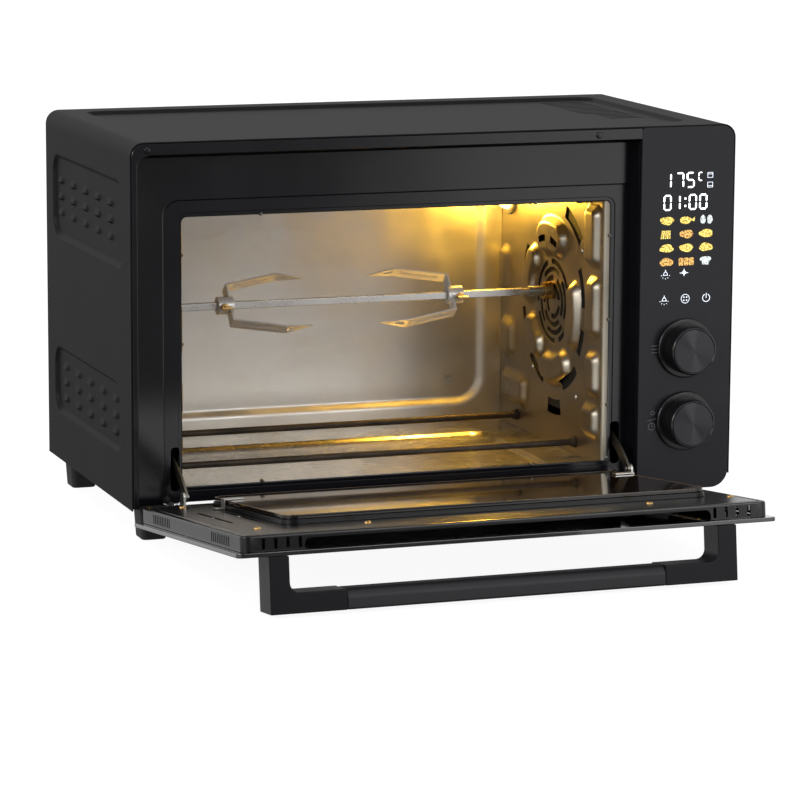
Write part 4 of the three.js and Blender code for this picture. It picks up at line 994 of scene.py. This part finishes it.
def build_food_icons():
    """Four rows of three pictograms: some with a shape of their own, the rest plain loaves."""
    gold = food_glow("food_gold", (0.30, 0.17, 0.01), (0.95, 0.78, 0.2))
    brown = food_glow("food_brown", (0.22, 0.08, 0.015), (0.8, 0.5, 0.14))
    pale = food_glow("food_pale", (0.2, 0.25, 0.25), (0.75, 0.8, 0.78))
    tones = [gold, gold, pale, gold, brown, gold, gold, gold, gold, brown, brown, pale]
    shapes = {1: fish, 2: egg_pair, 3: chips, 10: slices, 11: cook_hat}
    for k, tone in enumerate(tones):
        row, column = divmod(k, 3)
        x, z = 211 + 18.7 * column, 256.4 - 12.2 * row
        shape = shapes[k](x, z) if k in shapes else blob(x, z, 13, 7.2, 0.12, 10 + k)
        piece(f"menu_icon_{k:02d}", shape, tone, "cabinet")


def ring_mark(x, z, radius, width, start=0, end=360):
    """Two arcs that meet in the middle, so that a full circle stays open inside."""
    quarter = (end - start) / 4
    arcs = [arc_band((x, z), radius, width, middle, quarter, 14)
            for middle in (start + quarter, end - quarter)]
    return together([on_glass(arc) for arc in arcs])


def stroke(x0, z0, x1, z1, width):
    """Straight line on the glass, with a width."""
    along = np.array([x1 - x0, z1 - z0])
    across = np.array([-along[1], along[0]]) / np.linalg.norm(along) * width / 2
    ends = [np.array([x0, z0]), np.array([x1, z1])]
    outline = [ends[0] + across, ends[0] - across, ends[1] - across, ends[1] + across]
    return on_glass([tuple(p) for p in outline])


def lamp_mark(x, z):
    """Hanging shade with its cord, and five rays under it."""
    rays = []
    for a in np.radians((-160, -125, -90, -55, -20)):
        (u0, v0), (u1, v1) = [(x + r * math.cos(a), z + r * math.sin(a) - 0.4) for r in (3.6, 4.6)]
        rays.append(stroke(u0, v0, u1, v1, 0.5))
    shade = [stroke(x, z + 3.4, x, z + 1.4, 0.6), stroke(x - 0.9, z + 1.4, x + 0.9, z + 1.4, 0.5),
             stroke(x - 0.9, z + 1.4, x - 2.2, z - 1.4, 0.5), stroke(x + 0.9, z + 1.4, x + 2.2, z - 1.4, 0.5),
             stroke(x - 2.2, z - 1.4, x + 2.2, z - 1.4, 0.5)]
    return rays + shade


def tray_mark(x, z, level):
    """Small oven outline with its tray at a level."""
    w, h = 2.4, 2.2
    sides = [(x - w, z - h, x + w, z - h), (x - w, z + h, x + w, z + h), (x - w, z - h, x - w, z + h),
             (x + w, z - h, x + w, z + h), (x - w, z + level, x + w, z + level)]
    return together([stroke(*side, 0.45) for side in sides])


def build_marks():
    lit = lamp_mark(210.3, 209.8)
    lit += [stroke(224, 209.8, 232, 209.8, 0.6), stroke(228, 207, 228, 213.5, 0.6),
            blob(228, 210.2, 3.4, 3.4, 0.02, 5)]
    lit += [tray_mark(251.4, z, level) for z, level in ((295.5, 0.9), (287, -0.9))]
    lit += lamp_mark(209.5, 187)
    lit += [ring_mark(229.6, 186.8, 3.9, 0.5)]
    lit += [blob(229.6 + 1.9 * math.cos(a), 186.8 + 1.9 * math.sin(a), 1.5, 1.2, 0.02, 6)
            for a in np.radians((45, 135, 225, 315))]
    lit += [ring_mark(249.7, 186.8, 3.4, 0.6, 115, 425), stroke(249.7, 186.6, 249.7, 191, 0.6)]
    piece("touch_marks", together(lit), WHITE_GLOW, "cabinet")
    upper, lower = KNOB_HEIGHTS
    printed = [stroke(198.2, upper + dz, 204, upper + dz, 0.45) for dz in (-3, 0, 3)]
    printed += [ring_mark(199.5, lower - 4, 3.1, 0.45),
                stroke(199.5, lower - 4, 199.5, lower - 2.2, 0.4),
                stroke(199.5, lower - 4, 201, lower - 4, 0.4),
                stroke(195.5, lower + 1, 205, lower + 3.4, 0.4),
                ring_mark(200.4, lower + 8, 1.6, 0.4)]
    piece("printed_marks", together(printed), MARK, "cabinet")


def knob_profile(front, back, radius):
    """Body of a knob: shaft, skirt, and a rim round the sunk face."""
    return [(0, back), (3, back), (3, -4.4), (radius + 0.6, -4.4), (radius + 1, -5),
            (radius + 0.6, front + 4), (radius, front + 1.6), (radius - 0.5, front + 0.5),
            (radius - 1.2, front + 0.1), (radius - 1.6, front + 0.3), (radius - 2.0, front + 0.9),
            (0, front + 0.9)]


def cap_profile(front, radius):
    return [(0, front + 0.95), (radius - 2.1, front + 0.95), (radius - 2.1, front + 0.5),
            (radius - 2.4, front + 0.35), (0, front + 0.35)]


SEAT_PROFILE = [(3.3, -4), (25, -4), (25.8, -3.7), (26.3, -3), (26.5, -2.2), (26.5, -0.3), (3.3, -0.3),
                (3.3, -4)]


def build_knobs():
    radius = 21.0
    for (level, (low, high)), z in zip(KNOB_BOXES.items(), KNOB_HEIGHTS):
        front, centre = low[1], (PANEL_MIDDLE, z)
        body = turned(knob_profile(front, high[1], radius), "y", centre, 96)
        cap = turned(cap_profile(front, radius), "y", centre, 96)
        seat = turned(SEAT_PROFILE, "y", centre, 96)
        turning = f"{level}_knob"
        piece(f"knob_body_{level}", body, KNOB_BLACK, turning, [f"knob_{level}"])
        piece(f"knob_cap_{level}", cap, SPUN, turning)
        piece(f"knob_seat_{level}", seat, KNOB_BLACK, "cabinet", [f"knob_ring_{level}"])
        refine(f"encoder_{level}", PLATED, 0.3)


def build_panel():
    refine("control_glass", PANEL_GLASS, 0.5, 3)
    refine("control_housing", MOULDED, 0.4)
    refine("display_module", MOULDED, 0.3)
    refine("control_board", coated("board_green", (0.02, 0.09, 0.03), 0.5), 0)
    build_digits()
    build_food_icons()
    build_marks()
    build_knobs()


# ---------------- door
TRAY_LOW, TRAY_HIGH = shut_box("door_frame")
PANE_LOW, PANE_HIGH = shut_box("inner_pane")
CARRIER_LOW, CARRIER_HIGH = shut_box("pane_carrier")
DOOR_SCREWS = [(-237.7, 272), (169, 272), (-237.7, 58), (169, 58), (-150, 284), (92, 284)]


def tray_loop(inset, y, radius):
    outline = rounded(TRAY_LOW[0] + inset, TRAY_HIGH[0] - inset, TRAY_LOW[2] + inset, TRAY_HIGH[2] - inset,
                      radius, 8)
    return [(x, y, z) for x, z in outline]


def tray_shape():
    """Pressed inner frame of the door, with a groove round its face and a window."""
    back = TRAY_HIGH[1]
    start = TRAY_LOW[1]
    window = [(x, z) for x, z in rounded(CARRIER_LOW[0] + 12, CARRIER_HIGH[0] - 12, CARRIER_LOW[2] + 12,
                                         CARRIER_HIGH[2] - 12, 8, 8)]
    rings = [tray_loop(0, start, 7), tray_loop(0, back - 1.6, 7), tray_loop(0.5, back - 0.5, 6.6),
             tray_loop(1.6, back, 6), tray_loop(4, back, 5), tray_loop(4.5, back - 0.8, 4.8),
             tray_loop(5.4, back - 0.8, 4.4), tray_loop(5.9, back, 4.2)]
    inside = [(x, back, z) for x, z in window]
    return together([loft([*rings, inside]), loft([inside, [(x, back - 2, z) for x, z in window]])])


def build_door_frame():
    tray = new_object("door_tray", tray_shape(), shut=True)
    thicken(tray, 0.9, -1)
    middle = (TRAY_LOW[0] + TRAY_HIGH[0]) / 2
    top, bottom = TRAY_HIGH[2], TRAY_LOW[2]
    cuts = []
    for side in (-1, 1):  # short slots in the upper edge, on each side of the long one
        for k in range(4):
            x = middle + side * (175.5 + 10 * k)
            cuts.append(prism(rounded(x - 1.4, x + 1.4, 1.2, 10, 1.3, 4), "z", top - 4, top + 2))
    cuts.append(prism(rounded(middle - 172, middle + 172, -3, 8.4, 5), "z", top - 4, top + 2))
    for height in (67, 237):  # two groups of slots in each side edge
        for k in range(10):
            z = BASE + height + (k - 4.5) * 5.2
            for x in (TRAY_LOW[0], TRAY_HIGH[0]):
                cuts.append(prism(rounded(1.6, 9.8, z - 1.2, z + 1.2, 1.1, 4), "x", x - 3, x + 3))
    back = TRAY_HIGH[1]
    for x in (-241, -219, 150, 172):  # upright slots in the face, beside the pane
        cuts.append(prism(rounded(x - 1.6, x + 1.6, 115, 215, 1.5, 4), "y", back - 3, back + 2))
    for side in ("left", "right"):  # room for the hinge plates
        low, high = shut_box(f"door_hinge_plate_{side}")
        room = rounded(low[0] - 0.6, high[0] + 0.6, bottom - 3, high[2] + 3, 1, 3)
        cuts.append(prism(room, "y", -6, back + 2))
    punch(tray, cuts, shut=True)
    dress(tray, DOOR_ENAMEL, "door", ["door_frame"], 32)


def pane_loop(inset, rise):
    """Line round the inner pane's face, at a distance from its edge and in front of it."""
    outline = rounded(PANE_LOW[0] + inset, PANE_HIGH[0] - inset, PANE_LOW[2] + inset,
                      PANE_HIGH[2] - inset, 11 - inset, 10)
    return [(x, PANE_HIGH[1] + rise, z) for x, z in outline]


def build_pane_edge():
    loops = [pane_loop(0.1, 0.02), pane_loop(0.1, 0.1), pane_loop(1.0, 0.1), pane_loop(1.0, 0.02)]
    piece("pane_ground_edge", loft([*loops, loops[0]]), PANE_EDGE, "door", shut=True)


def build_door_screws():
    y = TRAY_HIGH[1]
    profile = [(0, y + 1.5), (1.6, y + 1.5), (2.7, y + 1.0), (3.1, y + 0.1), (3.1, y - 0.2), (0, y - 0.2)]
    heads = [turned(profile, "y", place, 28) for place in DOOR_SCREWS]
    piece("door_screws", together(heads), BRASS, "door", shut=True)


def build_door():
    build_door_frame()
    refine("door_glass", OUTER_PANE, 0.5)
    refine("pane_carrier", DOOR_ENAMEL, 0.8, 3)
    refine("inner_pane", DARK_PANE, 0.5)
    refine("handle_grip", GRIP, 0.5)
    for side in ("left", "right"):
        refine(f"pane_clip_{side}", PLATED, 0.25)
        refine(f"door_hinge_plate_{side}", PLATED, 0.2)
        refine(f"handle_end_{side}", HANDLE, 0.9, 3)
        refine(f"hinge_arm_{side}", DARK_STEEL, 0.2)
        refine(f"hinge_bracket_{side}", PLATED, 0.2)
    build_pane_edge()
    build_door_screws()


# ---------------- rest of the cabinet
def build_rest():
    refine("base_pan", PAINT, 0.3)
    refine("back_cover", PAINT, 0.6)
    refine("cord_gland", RUBBER, 0.5)
    for foot in ("front_left", "front_right", "back_left", "back_right"):
        refine(f"foot_{foot}", RUBBER, 1.2, 3)


# ---------------- studio
AMBIENT = 0.22
CAMERA_PLACE = (-1097.1, -2997.7, 679.9)
CAMERA_ANGLES = (-19.492, 10.149, 0.319)  # azimuth, elevation and roll, in degrees
CAMERA_LENS = 169.0
FLOOR_HALF = 9000


def build_camera():
    """Long lens a little to the left of the oven and above it."""
    azimuth, elevation, roll = (math.radians(a) for a in CAMERA_ANGLES)
    back = Vector((math.sin(azimuth) * math.cos(elevation), -math.cos(azimuth) * math.cos(elevation),
                   math.sin(elevation)))
    right = (-back).cross(Vector((0, 0, 1))).normalized()
    up = right.cross(-back)
    right, up = (right * math.cos(roll) + up * math.sin(roll), up * math.cos(roll) - right * math.sin(roll))
    data = bpy.data.cameras.new("camera")
    data.lens = CAMERA_LENS
    data.sensor_width = 36
    data.clip_start, data.clip_end = 0.1, 60
    camera = bpy.data.objects.new("camera", data)
    bpy.context.collection.objects.link(camera)
    place = to_frame([CAMERA_PLACE])[0]
    camera.matrix_world = Matrix.Translation(place) @ Matrix((right, up, back)).transposed().to_4x4()
    bpy.context.scene.camera = camera


def area_light(name, location, target, size, power, color=(1, 1, 1)):
    data = bpy.data.lights.new(name, "AREA")
    data.shape = "RECTANGLE"
    data.size, data.size_y = size
    data.energy = power
    data.color = color
    light = bpy.data.objects.new(name, data)
    bpy.context.collection.objects.link(light)
    light.location = location
    light.rotation_euler = (Vector(target) - Vector(location)).to_track_quat("-Z", "Y").to_euler()


def build_lamp_glow():
    """Warm light of the bulb, in front of its cover."""
    data = bpy.data.lights.new("lamp_glow", "POINT")
    data.energy = 1.6
    data.color = (1.0, 0.57, 0.06)
    data.shadow_soft_size = 0.008
    light = bpy.data.objects.new("lamp_glow", data)
    bpy.context.collection.objects.link(light)
    light.location = to_frame([(LAMP_LOW[0] - 12, LAMP[0] - 4, LAMP[1] + 4)])[0]


def build_world():
    """White in the picture. As a light it is bright behind, above and beside the oven, dim in front."""
    world = bpy.data.worlds.new("studio")
    world.use_nodes = True
    tree = world.node_tree
    nodes, links = tree.nodes, tree.links
    background = nodes["Background"]
    background.inputs["Color"].default_value = (1, 1, 1, 1)

    def math_node(operation, *values):
        node = nodes.new("ShaderNodeMath")
        node.operation = operation
        for socket, value in zip(node.inputs, values):
            links.new(value, socket)
        return node.outputs[0]

    direction = nodes.new("ShaderNodeSeparateXYZ")
    links.new(nodes.new("ShaderNodeTexCoord").outputs["Generated"], direction.inputs[0])
    x, y, z = direction.outputs
    beside = map_range(tree, math_node("ABSOLUTE", x), 0.5, 0.9, 0, 1)
    behind = map_range(tree, y, 0.2, 0.8, 0, 1)
    above_floor = map_range(tree, z, -0.4, 0.1, 0.15, 1)
    overhead = map_range(tree, z, 0.45, 0.85, 0, 1)
    level = math_node("MULTIPLY", math_node("MAXIMUM", beside, behind), above_floor)
    bright = math_node("MAXIMUM", level, overhead)
    seen = nodes.new("ShaderNodeLightPath").outputs["Is Camera Ray"]
    strength = math_node("MAXIMUM", map_range(tree, bright, 0, 1, AMBIENT, 1.0), seen)
    links.new(strength, background.inputs["Strength"])
    bpy.context.scene.world = world


def build_studio():
    build_world()
    bpy.context.scene.view_settings.view_transform = "Standard"
    corners = [(x * FLOOR_HALF, y * FLOOR_HALF, 0) for x, y in ((-1, -1), (1, -1), (1, 1), (-1, 1))]
    floor = new_object("floor_sheet", (corners, [(0, 1, 2, 3)]))
    pale = coated("pale_floor", (0.16, 0.16, 0.16), 0.8, grain=3, depth=0.01, tint=0.02, specular=0.1,
                  glow=(1, 1, 1, 1), glow_strength=0.93)
    floor.data.materials.append(pale)
    floor.visible_glossy = False
    floor.visible_diffuse = False
    area_light("left_box", (-2.4, -1.0, 1.1), (0, 0.1, 0.2), (1.2, 1.0), 24)
    area_light("front_box", (1.2, -2.9, 1.3), (-0.05, 0.1, 0.15), (1.2, 1.0), 19)
    area_light("right_card", (1.5, -2.3, 0.2), (0, 0, 0.2), (1.3, 1.4), 7)
    build_lamp_glow()


build_camera()
build_studio()
build_cover()
build_front_frame()
build_right_wall()
build_left_wall()
build_wall_screws()
build_back_wall()
build_floor()
build_heaters()
build_lamp()
build_spit()
build_panel()
build_door()
build_rest()
